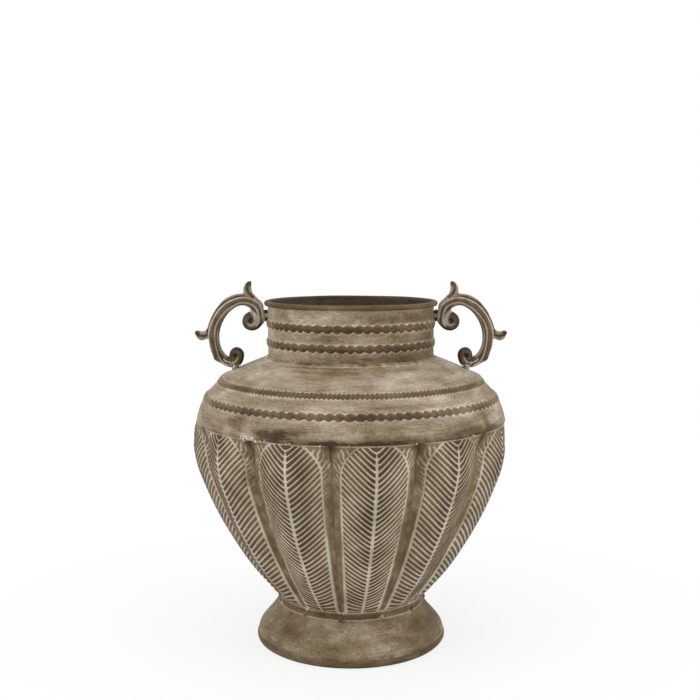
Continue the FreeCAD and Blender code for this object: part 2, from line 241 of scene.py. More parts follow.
def shell_faces(count, faces):
    """Faces of a closed shell: an outer skin, the same skin as an inner one, and walls between them."""
    open_edges = {}
    for face in faces:
        for a, b in zip(face, face[1:] + face[:1]):
            if (b, a) in open_edges:
                del open_edges[(b, a)]
            else:
                open_edges[(a, b)] = True
    walls = [(b, a, a + count, b + count) for a, b in open_edges]
    backs = [tuple(v + count for v in reversed(face)) for face in faces]
    return faces + backs + walls


# Gores

heights = [LOBE_START + h * (BELLY_HEIGHT - LOBE_START) for h, _, _ in LOWER_STATION_SHARES]
crests = [LIP_RADIUS + r * (BELLY_RADIUS - LIP_RADIUS) for _, r, _ in LOWER_STATION_SHARES]
depths = [LOBE_DEPTH * d for _, _, d in LOWER_STATION_SHARES]
heights += [BELLY_HEIGHT + h * (GORE_TOP - BELLY_HEIGHT) for h, _, _ in UPPER_STATION_SHARES]
crests += [BELLY_RADIUS + r * (SEAM_RADIUS - BELLY_RADIUS) for _, r, _ in UPPER_STATION_SHARES]
depths += [LOBE_DEPTH * d for _, _, d in UPPER_STATION_SHARES]
crest_of = cubic(heights, crests)
valley_of = cubic(heights, [c - d for c, d in zip(crests, depths)])

fine_heights = np.linspace(LOBE_START, GORE_TOP, 1200)
fine_lengths = run_along(np.stack([fine_heights, crest_of(fine_heights)], axis=-1))
LEAF_LENGTH = fine_lengths[-1]


def height_at(length):
    return np.where(length < 0, LOBE_START + length, np.interp(length, fine_lengths, fine_heights))


def crest_at(length):
    return crest_of(np.maximum(height_at(length), LOBE_START))


def fullness(z):
    """How far the pressed lobes stand out beyond the plain solids."""
    low = smooth(*(LOBE_START + d for d in FULL_ABOVE_START), z)
    low = low * smooth(*(BELLY_HEIGHT - d for d in FULL_BELOW_BELLY), z)
    high = smooth(*(SEAM_HEIGHT - d for d in SWELL_BELOW_SEAM), z)
    high = high * smooth(*(SEAM_HEIGHT - d for d in SWELL_END_BELOW_SEAM), z)
    return FULLNESS * low + BELLY_SWELL * high


def gore_point(angle, length, inset=0.0):
    """A point of the pressed gore whose middle faces +X, at this angle and length up the midrib."""
    z = height_at(length)
    bowl = np.maximum(z, LOBE_START)
    outset = fullness(z) - inset
    crest, valley = crest_of(bowl) + outset, valley_of(bowl) + outset
    bulge = np.maximum(crest - valley * math.cos(HALF_PITCH), 1e-6)
    centre = (crest**2 - valley**2) / (2 * bulge)
    reach = centre * np.cos(angle) + np.sqrt((crest - centre) ** 2 - (centre * np.sin(angle)) ** 2)
    slope = np.tan(2 * np.arctan2(bulge, valley * math.sin(HALF_PITCH)) - HALF_PITCH)
    near = np.maximum(CREASE_FILL - (HALF_PITCH - np.abs(angle)) * valley, 0)
    reach = reach + slope * near**2 / (2 * CREASE_FILL)
    return turned(reach, angle, z)


def gore_normal(angle, length, angle_step=0.002, length_step=0.3):
    across = gore_point(angle + angle_step, length) - gore_point(angle - angle_step, length)
    up = gore_point(angle, length + length_step) - gore_point(angle, length - length_step)
    normal = np.cross(across, up)
    return normal / np.linalg.norm(normal, axis=-1, keepdims=True)


def leaf_edge(length):
    """Angle of the leaf's outline, which closes to an arch near the seam."""
    rise = np.clip((length - ARCH_START) / (LEAF_LENGTH - ARCH_START), 0, 1)
    return ARCH_TOP_ANGLE + (LEAF_HALF_ANGLE - ARCH_TOP_ANGLE) * (1 - rise**2) ** ARCH_POWER


def vein_rise(start, width):
    return table(VEIN_SLOPES, start) * (np.sqrt(width**2 + VEIN_BEND**2) - VEIN_BEND)


def vein_number(start):
    places, lengths = zip(*VEIN_PLACES)
    number = np.interp(start, lengths, places)
    first, last = lengths[1] - lengths[0], lengths[-1] - lengths[-2]
    number = np.where(start < lengths[0], (start - lengths[0]) * places[1] / first, number)
    past = (start - lengths[-1]) * (places[-1] - places[-2]) / last
    return np.where(start > lengths[-1], places[-1] + past, number)


# Points of one row of a gore: distances from the midrib and from the leaf's outline
NEAR_MIDRIB = np.array([0, 0.6, 0.95, 1.3, 1.7, 2.2, 2.9, 4.0])
NEAR_EDGE = np.array([2.6, 1.9, 1.35, 0.9, 0.45, 0])
BETWEEN = 8
OUTSIDE_SHARES = np.linspace(0, 1, 22)[1:]
ROW_STEP = 0.48
LIP_ROWS = np.array([-8.0, -7.5, -7.0, -6.4, -5.4, -4.0, -2.8, -1.8, -1.0, -0.4])
WIDEST_ROW = 42
JUNCTION_SEARCH_START = 120
TIP_GAP = 0.15
OUTLINE_START = -12
OUTLINE_POINTS = 60


def leaf_rows(starts):
    """For each row, which starts on the midrib and follows a vein: where it meets the outline."""
    widths = np.linspace(0, WIDEST_ROW, 500)
    lengths = starts[:, None] + vein_rise(starts[:, None], widths[None, :])
    inside = np.minimum(lengths, LEAF_LENGTH)
    limit = leaf_edge(inside) * crest_at(inside)
    over = np.maximum(widths[None, :] - limit, lengths - LEAF_LENGTH)
    first = np.argmax(over > 0, axis=1)
    rows = np.arange(len(starts))
    before = np.maximum(first - 1, 0)
    low, high = over[rows, before], over[rows, first]
    share = np.where(first > 0, -low / np.where(high - low == 0, 1, high - low), 0)
    return widths[before] + share * (widths[first] - widths[before])


def leaf_columns(full):
    """Distances from the midrib of the points of one row, for rows that are this long."""
    full = full[:, None]
    share = np.linspace(0, 1, len(NEAR_MIDRIB) + BETWEEN + len(NEAR_EDGE))[None, :]
    inner = np.minimum(NEAR_MIDRIB[None, :], full * share[:, : len(NEAR_MIDRIB)])
    edge_share = share[:, -len(NEAR_EDGE) :]
    outer = np.maximum(full - NEAR_EDGE[None, :], full * edge_share)
    part = np.linspace(0, 1, BETWEEN + 2)[None, 1:-1]
    middle = inner[:, -1:] + (outer[:, :1] - inner[:, -1:]) * part
    return np.concatenate([inner, middle, outer], axis=1)


def distance_to(points, line):
    """Distance of each flat point from a run of straight pieces."""
    best = np.full(points.shape[:-1], np.inf)
    for start, end in zip(line[:-1], line[1:]):
        way = end - start
        share = np.clip((points - start) @ way / max(way @ way, 1e-12), 0, 1)
        best = np.minimum(best, np.linalg.norm(points - start - share[..., None] * way, axis=-1))
    return best


def edge_distance(width, length):
    """Distance from the leaf's outline, measured on the sheet."""
    side = np.linspace(OUTLINE_START, ARCH_START, OUTLINE_POINTS)
    arch = np.linspace(ARCH_START, LEAF_LENGTH, OUTLINE_POINTS)[1:]
    run = np.concatenate([side, arch])
    around = leaf_edge(run) * crest_at(run)
    return distance_to(np.stack([width, length], axis=-1), np.stack([around, run], axis=-1))


def pad_relief(start, width, edge_gap, drift):
    """Height and tone of the leaf: raised pads between the midrib, the slanting grooves and the edge."""
    number = vein_number(start) + drift
    part = number - np.floor(number)
    turn = np.arctan(table(VEIN_SLOPES, start) * width / np.sqrt(width**2 + VEIN_BEND**2))
    across_pitch = table(VEIN_PITCH, start) * np.cos(turn)
    side = (0.5 - np.abs(part - 0.5) - table(VEIN_SHARES, start) / 2) * across_pitch
    along = np.minimum(width - table(MIDRIB_HALVES, start), edge_gap - table(EDGE_HALVES, start))
    rounded = PAD_CORNER - np.hypot(np.maximum(PAD_CORNER - along, 0), np.maximum(PAD_CORNER - side, 0))
    depth = np.where((along < PAD_CORNER) & (side < PAD_CORNER), rounded, np.minimum(along, side))
    height = RELIEF * (smooth(*PAD_WALL, depth) - 1) - PAD_CROWN * smooth(PAD_CROWN_WIDTH, 0, depth)
    worn = PAD_TONE - MIDRIB_SHADE * smooth(*MIDRIB_SHADE_REACH, width)
    return height, mix(WASH_TONE, worn, smooth(*PAD_WASH_EDGE, depth))


def stroke_share(length, share, away, top):
    """How much of a pale feather stroke lies at a place outside the leaf."""
    place = (length - STROKE_SLANT * away + 0.5 * np.sin(length * 0.7)) / STROKE_PITCH
    number = np.floor(place)
    middle_gap = 0.5 - np.abs(place - number - 0.5)
    reach = 0.56 + 0.26 * np.sin(number * 2.4)
    faint = FAINT_STROKES * smooth(*FAINT_STROKE_RUN, length) * (np.sin(number * 1.7) > -0.3)
    shown = np.maximum(top, faint) * smooth(*STROKE_END, length)
    return smooth(0.26, 0.1, middle_gap) * shown * smooth(reach + 0.15, reach - 0.1, share)


def flank_relief(length, share, away, edge_gap):
    """Height and tone outside the leaf: a pale flank, the brown valley and a few feather strokes."""
    outward = edge_gap - table(EDGE_HALVES, length)
    flank = FLANK_WIDTH - FLANK_NARROWING * smooth(*NARROW_RUN, length)
    top = smooth(*SPANDREL_RUN, length)
    stroke = stroke_share(length, share, away, top)
    height = -RELIEF * smooth(0.5, -0.3, outward) - FLANK_STEP - FLANK_DEPTH * smooth(0.3, flank, outward)
    spandrel = top * (1 - stroke) * smooth(0.3, 1.4, outward) * smooth(1, 0.7, share)
    height = height - STROKE_DEPTH * stroke + SPANDREL_RISE * spandrel
    tone = mix(WASH_TONE, FLANK_TONE, smooth(-0.1, 0.6, outward))
    tone = mix(tone, VALLEY_TONE, smooth(0.2, flank, outward))
    tone = mix(tone, SPANDREL_TONE, top * smooth(0.0, 1.4, outward))
    return height, mix(tone, STROKE_TONE, stroke)


def both_sides(middle, outside, mirror=1):
    """One row of columns from the left edge of a gore over its midrib to the right edge."""
    return np.concatenate([mirror * outside[:, ::-1], mirror * middle[:, :0:-1], middle, outside], axis=1)


def leaf_starts():
    """Where the rows start on the midrib, and the number of the last row that is whole."""
    guess = np.linspace(JUNCTION_SEARCH_START, LEAF_LENGTH, 2000)
    rise = vein_rise(guess, ARCH_TOP_ANGLE * SEAM_RADIUS)
    junction = np.interp(0, guess + rise - LEAF_LENGTH, guess)
    below = np.linspace(0, junction, int(junction / ROW_STEP) + 1)
    above_count = int((LEAF_LENGTH - junction) / ROW_STEP) + 1
    above = np.linspace(junction, LEAF_LENGTH - TIP_GAP, above_count)[1:]
    return np.concatenate([LIP_ROWS, below, above]), len(LIP_ROWS) + len(below) - 1


def gore_faces(rows, columns, sides, last_full):
    """Faces of one skin of a gore. Rows above the last whole one run over the leaf alone."""
    faces = []
    for row in range(rows - 1):
        first, stop = (0, columns - 1) if row < last_full else (sides, columns - sides - 1)
        for column in range(first, stop):
            corner = row * columns + column
            faces.append((corner, corner + 1, corner + columns + 1, corner + columns))
    return faces


def make_gore_grid():
    """Places of all points of a gore, its middle at angle 0, and its faces. All gores share them."""
    starts, last_full = leaf_starts()
    full = leaf_rows(np.maximum(starts, 0))
    full[last_full] = ARCH_TOP_ANGLE * SEAM_RADIUS
    width = leaf_columns(full)
    start = np.broadcast_to(starts[:, None], width.shape)
    length = np.minimum(start + vein_rise(np.maximum(start, 0), width), LEAF_LENGTH)
    angle = width / crest_at(length)
    edge_radius = crest_at(length[:, -1:])
    reach = HALF_PITCH + CREASE_LAP / 2 / edge_radius - angle[:, -1:]
    share = np.broadcast_to(OUTSIDE_SHARES[None, :], (len(starts), len(OUTSIDE_SHARES)))
    outside_length = np.broadcast_to(length[:, -1:], share.shape)
    away = reach * share * edge_radius
    all_angle = both_sides(angle, angle[:, -1:] + reach * share, -1)
    all_length = both_sides(length, outside_length)
    grid = {
        "start": start, "width": width, "gap": edge_distance(width, length),
        "share": share, "away": away, "outside_length": outside_length,
        "outside_gap": edge_distance(angle[:, -1:] * edge_radius + away, outside_length),
        "length": all_length, "outer": gore_point(all_angle, all_length),
        "normal": gore_normal(all_angle, all_length), "inner": gore_point(all_angle, all_length, SHEET),
    }
    faces = gore_faces(*all_angle.shape, share.shape[1], last_full)
    used = np.zeros(all_angle.size, bool)
    used[np.unique(np.array(faces))] = True
    renumber = np.cumsum(used) - 1
    faces = [tuple(int(renumber[v]) for v in face) for face in faces]
    grid["used"] = used
    grid["faces"] = shell_faces(int(used.sum()), faces)
    return grid


# Paint and wear of a gore
GORE_SEED = 100
BLOTCH_SEED = 80
BLOTCH_SIZE = 9
LIP_FADE = (-0.4, 1.2)
LIP_END = (-0.3, 0.5)
LIP_TONE = 0.27
LIP_LOW_WASH = 0.6
LIP_LOW_EDGE = (-6.9, -7.4)
LIP_TOP_WASH = 0.5
LIP_TOP_EDGE = (-1.4, -0.6)
JOINT_SHARE = (0.93, 0.99)
JOINT_DEPTH = 0.1
# Where the painted shade of the hollow at the top of each valley lies
HOLLOW_SHARE = (0.55, 1)
HOLLOW_RUN = (174, 190)
LEFT_FLANK_LIGHT = 0.06  # painted light: how much paler the left flank of a leaf is than the right one, as if lit from the left
EDGE_WEAR = 0.22
EDGE_WEAR_REACH = (2.0, 0.8)
EDGE_WEAR_RUN = (50, 110)
SEAM_WASH = 0.72
SEAM_WASH_REACH = (1.6, 0.5)


def lip_tone(length):
    wash = LIP_LOW_WASH * smooth(*LIP_LOW_EDGE, length) + LIP_TOP_WASH * smooth(*LIP_TOP_EDGE, length)
    return LIP_TONE + wash


def edge_wear(number, grid, left):
    """How far the wash is rubbed off the line round the leaf, here and there along it."""
    length = grid["length"]
    near = smooth(*EDGE_WEAR_REACH, both_sides(grid["gap"], grid["outside_gap"]))
    wave = np.sin(length * 0.052 + 2.2 * number + 2 * left) + 0.5 * np.sin(length * 0.13 + number)
    return EDGE_WEAR * near * smooth(-0.3, 1.0, wave) * smooth(*EDGE_WEAR_RUN, length)


def gore_relief(number, grid):
    """Height and tone of every point of one gore."""
    start, length = grid["start"], grid["length"]
    random = np.random.default_rng(GORE_SEED + number)
    drift = 0.05 * np.sin(start * 0.09 + random.uniform(0, 6)) + 0.03 * np.sin(start * 0.31 + number)
    leaf_height, leaf_tone = pad_relief(np.maximum(start, 0), grid["width"], grid["gap"], drift)
    flank = (grid[key] for key in ("outside_length", "share", "away", "outside_gap"))
    side_height, side_tone = flank_relief(*flank)
    lip = smooth(*LIP_FADE, length)
    tone = mix(lip_tone(length), both_sides(leaf_tone, side_tone), smooth(*LIP_END, length))
    crease = both_sides(0 * grid["width"], grid["share"])
    joint = smooth(*JOINT_SHARE, crease) * (0.7 + 0.5 * np.sin(length * 0.11 + number))
    # Painted shade in the hollow where each valley meets the seam
    hollow = smooth(*HOLLOW_SHARE, crease) * smooth(*HOLLOW_RUN, length)
    flat = np.stack([crease * 8 + 20 * number, length * 0.8, 0 * length], axis=-1)
    blotches = waves(flat, BLOTCH_SIZE, BLOTCH_SEED + number)
    left = np.arange(crease.shape[1])[None, :] < crease.shape[1] // 2
    tone = tone - 0.2 * joint - 0.3 * hollow + 0.11 * blotches * (1 - lip)
    # Painted light on the left flank of each leaf, and blotches in the valley
    tone = tone + smooth(0.15, 0.6, crease) * (LEFT_FLANK_LIGHT * left + 0.06 * blotches)
    tone = tone - edge_wear(number, grid, left)
    seam = smooth(*(LEAF_LENGTH - d for d in SEAM_WASH_REACH), length)
    tone = mix(tone, SEAM_WASH, seam * (1 - hollow))
    return both_sides(leaf_height, side_height) * lip - JOINT_DEPTH * joint, tone


def make_gore(number, grid):
    height, tone = gore_relief(number, grid)
    turn = GORE_TURN - math.pi / 2 + (number - 1) * 2 * HALF_PITCH
    cos, sin = math.cos(turn), math.sin(turn)
    spin = np.array([[cos, sin, 0], [-sin, cos, 0], [0, 0, 1]])
    outer = grid["outer"] + grid["normal"] * height[..., None]
    outer = (outer.reshape(-1, 3) @ spin)[grid["used"]]
    inner = (grid["inner"].reshape(-1, 3) @ spin)[grid["used"]]
    patches = 0.06 * waves(outer, 30, 40 + number) + 0.035 * waves(outer, 9, 60 + number)
    tones = np.concatenate([tone.ravel()[grid["used"]] + patches, np.zeros(len(inner))])
    points = np.concatenate([outer, inner])
    gore = make_object(f"leaf_gore_{number:02d}", points, grid["faces"], tones, gore_finish)
    show_piece(gore, "gore_sheet", f"gore_{number:02d}")


# Materials

def linear(red, green, blue):
    """A colour given as it looks on a screen, 0 to 255."""
    shares = [c / 255 for c in (red, green, blue)]
    return tuple(c / 12.92 if c < 0.04045 else ((c + 0.055) / 1.055) ** 2.4 for c in shares) + (1,)


def node(tree, kind, inputs=None, **settings):
    made = tree.nodes.new(kind)
    for name, value in settings.items():
        setattr(made, name, value)
    for name, value in (inputs or {}).items():
        socket = made.inputs[name]
        if isinstance(value, bpy.types.NodeSocket):
            tree.links.new(value, socket)
        else:
            socket.default_value = value
    return made


def maths(tree, operation, a, b):
    return node(tree, "ShaderNodeMath", {0: a, 1: b}, operation=operation).outputs[0]


# Colour of each tone as it looks in plain light
TONES = (
    (0.0, linear(54, 40, 26)), (0.15, linear(85, 68, 45)), (0.3, linear(108, 91, 65)),
    (0.5, linear(135, 119, 95)), (0.7, linear(162, 148, 128)), (0.85, linear(183, 171, 153)),
    (1.0, linear(205, 196, 182)),
)


def noise(tree, vector, scale, detail, roughness=0.6):
    """A noise moved to lie around zero."""
    inputs = {"Vector": vector, "Scale": scale, "Detail": detail, "Roughness": roughness}
    value = node(tree, "ShaderNodeTexNoise", inputs).outputs["Fac"]
    return maths(tree, "SUBTRACT", value, 0.5)


def round_axis(tree, place, along, around):
    """A vector that changes slowly round the axis and fast along the section of a turned piece."""
    level = node(tree, "ShaderNodeVectorMath", {0: place, 1: (1, 1, 0)}, operation="MULTIPLY").outputs[0]
    radius = node(tree, "ShaderNodeVectorMath", {0: level}, operation="LENGTH").outputs["Value"]
    way = node(tree, "ShaderNodeVectorMath", {0: level}, operation="NORMALIZE").outputs[0]
    way = node(tree, "ShaderNodeVectorMath", {0: way, "Scale": around}, operation="SCALE").outputs[0]
    height = node(tree, "ShaderNodeSeparateXYZ", {0: place}).outputs["Z"]
    run = maths(tree, "MULTIPLY", maths(tree, "SUBTRACT", height, radius), along)
    lift = node(tree, "ShaderNodeCombineXYZ", {"Z": run}).outputs[0]
    return node(tree, "ShaderNodeVectorMath", {0: way, 1: lift}, operation="ADD").outputs[0]


# Noise scales per metre, and for wiped lines the scales along the section and round the axis
MOTTLE_SCALE = 34.0
GRAIN_SCALE = 560.0
PIT_SCALE = 260.0
HUE_SCALE = 26.0
STREAK_SCALES = (95.0, 6.5)
SCRATCH_SCALES = (620.0, 7.0)
HAIR_SCALES = (1300.0, 15.0)
PIT_LEVEL = 0.13
HAIR_LEVEL = 0.1
HUES = ((0.38, (0.98, 1.0, 0.97)), (0.62, (1.02, 0.99, 1.01)))  # place in the noise, and factor


def above_level(tree, value, level):
    return maths(tree, "MAXIMUM", maths(tree, "SUBTRACT", value, level), 0.0)


def worn_tone(tree, shift, patterns):
    """The tone of the mesh, moved by patterns of (noise, amount), which act less where it is dark."""
    tone = node(tree, "ShaderNodeAttribute", attribute_name="tone").outputs["Fac"]
    total = 0.0
    for pattern, amount in patterns:
        total = maths(tree, "ADD", total, maths(tree, "MULTIPLY", pattern, amount))
    limits = {"Value": tone, "From Min": 0.1, "From Max": 0.5, "To Min": 0.3}
    strength = node(tree, "ShaderNodeMapRange", limits).outputs[0]
    total = maths(tree, "MULTIPLY", total, strength)
    return maths(tree, "ADD", maths(tree, "ADD", tone, shift), total)


def hue_colour(tree, place, tint):
    """A tint that drifts a little from place to place."""
    drift = maths(tree, "ADD", noise(tree, place, HUE_SCALE, 3.0), 0.5)
    hue = node(tree, "ShaderNodeValToRGB", {"Fac": drift})
    for element, (position, colour) in zip(hue.color_ramp.elements, HUES):
        element.position = position
        element.color = (*(c * t for c, t in zip(colour, tint)), 1)
    return hue.outputs["Color"]


def tone_colour(tree, tone):
    ramp = node(tree, "ShaderNodeValToRGB", {"Fac": tone})
    elements = ramp.color_ramp.elements
    while len(elements) < len(TONES):
        elements.new(0.5)
    for element, (position, colour) in zip(elements, TONES):
        element.position, element.color = position, colour
    return ramp.outputs["Color"]


def antique(name, mottle, streak, grain, scratch=0.0, shift=0.0, roughness=0.62, tint=(1, 1, 1)):
    """Brown metal with rubbed whitewash. The amounts say how far each pattern moves the tone."""
    material = bpy.data.materials.new(name)
    material.use_nodes = True
    tree = material.node_tree
    shader = tree.nodes["Principled BSDF"]
    place = node(tree, "ShaderNodeNewGeometry").outputs["Position"]
    grains = noise(tree, place, GRAIN_SCALE, 4.0, 0.75)
    scratches = noise(tree, round_axis(tree, place, *SCRATCH_SCALES), 1.0, 3.0, 0.7)
    patterns = (
        (noise(tree, place, MOTTLE_SCALE, 6.0), mottle),
        (noise(tree, round_axis(tree, place, *STREAK_SCALES), 1.0, 5.0), streak),
        (scratches, scratch), (grains, grain),
    )
    tone = worn_tone(tree, shift, patterns)
    pits = above_level(tree, noise(tree, place, PIT_SCALE, 2.0), PIT_LEVEL)
    tone = maths(tree, "SUBTRACT", tone, maths(tree, "MULTIPLY", pits, grain * 2.0))
    hairs = above_level(tree, noise(tree, round_axis(tree, place, *HAIR_SCALES), 1.0, 1.0), HAIR_LEVEL)
    tone = maths(tree, "SUBTRACT", tone, maths(tree, "MULTIPLY", hairs, scratch * 2.2))
    mixed = node(tree, "ShaderNodeMix", data_type="RGBA", blend_type="MULTIPLY")
    mixed.inputs["Factor"].default_value = 1.0
    tree.links.new(tone_colour(tree, tone), mixed.inputs[6])
    tree.links.new(hue_colour(tree, place, tint), mixed.inputs[7])
    tree.links.new(mixed.outputs[2], shader.inputs["Base Color"])
    rough = maths(tree, "ADD", maths(tree, "MULTIPLY", grains, 0.3), roughness)
    tree.links.new(rough, shader.inputs["Roughness"])
    shader.inputs["Specular IOR Level"].default_value = 0.25
    rise = maths(tree, "ADD", grains, maths(tree, "MULTIPLY", scratches, 0.5))
    bump = node(tree, "ShaderNodeBump", {"Height": rise, "Strength": 0.5, "Distance": 0.0006})
    tree.links.new(bump.outputs["Normal"], shader.inputs["Normal"])
    return material


gore_finish = antique("pressed leaf", 0.45, 0.15, 0.6)
spun_finish = antique("spun sheet", 0.6, 0.5, 0.8, scratch=0.6)
foot_finish = antique("foot sheet", 0.7, 0.55, 0.8, scratch=0.6, tint=(0.99, 1.0, 0.975))
cast_finish = antique("casting", 0.8, 0.0, 0.7, roughness=0.42, tint=(0.96, 0.97, 1.02))
inner_finish = antique("bare inside", 0.1, 0.1, 0.1, shift=0.05, roughness=0.55)
weld_finish = antique("weld", 0.5, 0.0, 0.5)


# Spun pieces

def section_path(corners, step):
    """Points along straight and curved runs of a section. A corner is (r, z) or (r, z, bulge)."""
    path = [np.array(corners[0][:2], float)]
    for corner in corners[1:]:
        start, end = path[-1], np.array(corner[:2], float)
        chord = end - start
        size = np.linalg.norm(chord)
        count = max(1, int(round(size / step)))
        share = np.linspace(0, 1, count + 1)[1:]
        bulge = corner[2] if len(corner) > 2 else 0
        way = np.array([chord[1], -chord[0]]) / max(size, 1e-9)
        for s in share:
            path.append(start + chord * s + way * bulge * 4 * s * (1 - s))
    return np.array(path)


def arc_path(centre, radius, start, stop, count):
    turn = np.radians(np.linspace(start, stop, count))
    return np.stack([centre[0] + radius * np.cos(turn), centre[1] + radius * np.sin(turn)], axis=-1)


def outward_of(path):
    """Unit normals of a section, on the side away from the axis."""
    slope = np.gradient(path, axis=0)
    slope /= np.linalg.norm(slope, axis=1, keepdims=True)
    normal = np.stack([-slope[:, 1], slope[:, 0]], axis=-1)
    return normal if normal[len(normal) // 2, 0] > 0 else -normal


def offset_inward(path, gauge):
    return (path - outward_of(path) * gauge)[::-1]


def hump(phase, lean=0.0):
    """1 on top of a lobe, 0 in the notch before the next. Lean moves the top to one side."""
    place = (phase + 0.5) % 1
    peak = 0.5 + lean
    half = np.where(place < peak, place / peak, 1 + (place - peak) / (1 - peak)) / 2
    return np.sin(math.pi * half)


# Rolled beads that look like ropes. Top and low are the edges of the band, from the middle of the
# bead, and the notches between two strands cut into both. Hook draws the top down behind each strand.
NECK_ROPE = {
    "top": 3.7, "top_notch": 1.5, "top_lean": -0.12, "hook": 0.0,
    "low": -4.1, "low_notch": 2.1, "low_lean": 0.14, "low_shift": 0.15, "tone": 0.17,
}
FACET_ROPE = {
    "top": 3.5, "top_notch": 1.6, "top_lean": -0.12, "hook": 0.3,
    "low": -4.0, "low_notch": 1.7, "low_lean": 0.12, "low_shift": 0.3, "tone": 0.25,
}
SIDE_ROPE = {
    "top": 4.0, "top_notch": 2.3, "top_lean": -0.2, "hook": 0.0,
    "low": -3.9, "low_notch": 1.8, "low_lean": 0.14, "low_shift": 0.2, "tone": 0.24,
}
ROPE_LEAN = 0.8  # how far round, in strands, each strand goes on from the top of the band to its foot
ROPE_WASH_TONE = 0.97
WASH_REACH = (2.4, 0.3)
BAND_EDGE = (0.12, -0.3)
ROPE_SIDE_LIGHT_REACH = (0.82, 0.98)  # where round the vase, as |cos| of the turn, painted side light makes the rope grooves paler


def rope_edges(phase, rope):
    """Upper and lower edge of the band, by place round it."""
    top = rope["top"] - rope["top_notch"] * (1 - hump(phase, rope["top_lean"]))
    top = top - rope["hook"] * (1 - np.cos(math.pi * phase))
    low_hump = hump(phase + rope["low_shift"], rope["low_lean"])
    return top, rope["low"] + rope["low_notch"] * (1 - low_hump)


def rope_relief(away, phase, rope, height, side_light):
    """Rise of a pressed band at this distance from its middle, the band itself, wash round it, and the
    band's tone with painted light and shade.
    """
    top, low = rope_edges(phase, rope)
    middle, half = (top + low) / 2, (top - low) / 2
    across = (away - middle) / half
    strand = hump(phase - ROPE_LEAN * (1 - np.clip(across, -1, 1)) / 2)
    inside = np.clip(1 - np.abs(across) ** 2.2, 0, 1) ** 0.55
    rise = height * inside * (0.7 + 0.3 * strand**0.7)
    beyond = (np.abs(across) - 1) * half
    band = smooth(*BAND_EDGE, beyond)
    wash = smooth(*WASH_REACH, beyond) * (1 - band) * (0.3 + 0.7 * (1 - strand))
    groove = (1 - strand) ** 2
    # Painted highlight and shade: the top of the band is painted lighter, its foot darker, and the grooves
    # between strands darker; painted side light makes the grooves paler towards the sides of the vase.
    shade = 0.08 * np.clip(across, -1, 1) - 0.11 * groove + side_light * (0.04 + 0.75 * groove)
    return rise, band, wash, rope["tone"] + shade


# Rubbed and stained places: degrees right of the front, run up the section (counted back from its
# end where it is negative), half width, half height, change of tone
SHOULDER_MARKS = (
    (-28.5, 4.6, 21, 5.6, -0.52), (-20, 10, 12, 3.6, -0.26), (1, 1.2, 31, 2.4, -0.42),
    (-15, 2.6, 22, 3.4, -0.22), (13, 3.6, 26, 4.2, -0.22), (56, 12, 5, 8, -0.28),
    (51, 3.2, 27, 4.2, -0.34), (-44, 13, 9, 6.0, -0.2), (-54, 5, 10, 3.5, -0.2),
    (-36.5, 2.0, 8, 4.0, 0.42), (28, 10, 20, 5, 0.09), (-34, 36, 24, 4, -0.14),
    (22, 33, 30, 3, -0.12), (150, 6, 30, 5, -0.3), (-150, 4, 24, 4, -0.3),
    (-14, -15, 40, 4.4, -0.24), (-20, -7.6, 50, 1.9, -0.3), (30, -12, 26, 4, -0.12),
    (62, -24, 14, 7, -0.12), (-48, -22, 20, 8, 0.1), (8, -30, 34, 5, 0.08),
    (160, -20, 50, 6, -0.18), (100, -30, 30, 6, 0.08),
)
NECK_MARKS = (
    (0, 6.0, 11, 3.6, -0.16), (9, 11.0, 7, 1.2, -0.22), (13, 9.4, 6, 0.9, -0.2), (39, 9, 9, 3, -0.07),
    (40, 46, 26, 4, -0.15), (-14, 28.5, 8, 4, -0.2), (12, 28.5, 11, 5, 0.1), (-30, 47, 26, 5, 0.1),
    (62, 28, 10, 6, -0.14), (-60, 12, 14, 5, 0.08), (170, 28, 30, 5, -0.14),
)
FOOT_MARKS = (
    (-42, 28, 13, 9, -0.2), (-22, 24, 12, 5, -0.1), (17, 38, 12, 5, 0.2), (-2, 24, 16, 6, 0.1),
    (50, 24, 10, 10, -0.05), (-76, 34, 9, 8, 0.1), (-55, 41, 6, 1.6, 0.3), (30, 43, 16, 1.3, 0.16),
    (150, 30, 18, 8, -0.14), (-140, 24, 14, 7, -0.12), (100, 36, 12, 5, 0.12),
)
MARK_STRETCH = (0.5, 0.5, 1.6)  # the ragged edges of marks are stretched round the vase
MARK_RAGS = ((0.28, 13, 51), (0.24, 5, 52), (0.16, 2.4, 53))  # amount, size and seed


def marks_tone(marks, run, turn, radius):
    """Change of tone by the marks, each with a ragged edge."""
    places = turned(radius, turn, 0)[None, :, :] + run[:, None, None] * np.array([0, 0, 1])
    places = places * np.array(MARK_STRETCH)
    ragged = sum(amount * waves(places, size, seed) for amount, size, seed in MARK_RAGS)
    total = np.zeros(places.shape[:2])
    for degrees, middle, wide, high, change in marks:
        middle = middle if middle > 0 else run[-1] + middle
        gap = (turn + math.pi / 2 - math.radians(degrees) + math.pi) % FULL_TURN - math.pi
        away = (gap[None, :] * radius / wide) ** 2 + ((run[:, None] - middle) / high) ** 2
        total += change * np.exp(-np.maximum(away + ragged, 0) ** 1.7)
    return total


def add_ropes(run, turn, tone, ropes):
    """Rise and tone of a section with its ropes: (run at the middle, count, form, height, first turn)."""
    rise = np.zeros(tone.shape)
    # Painted side light: towards the sides of the vase the grooves of the ropes are painted paler.
    side_light = smooth(*ROPE_SIDE_LIGHT_REACH, np.abs(np.cos(turn)))
    for middle, count, rope, height, first in ropes:
        wander = 0.1 * np.sin(5 * turn + middle) + 0.07 * np.sin(17 * turn + 2 * middle)
        phase = (turn + first) / FULL_TURN * count + wander
        lift, band, wash, shade = rope_relief(run[:, None] - middle, phase, rope, height, side_light)
        rise = rise + lift
        tone = mix(mix(tone, ROPE_WASH_TONE, wash), shade, band)
    return rise, tone


DENT_SIZE = 60
FLOOR_FADE = (0, 3)  # no dent reaches the floor
PATCH_STRETCH = (1, 1, 2.4)


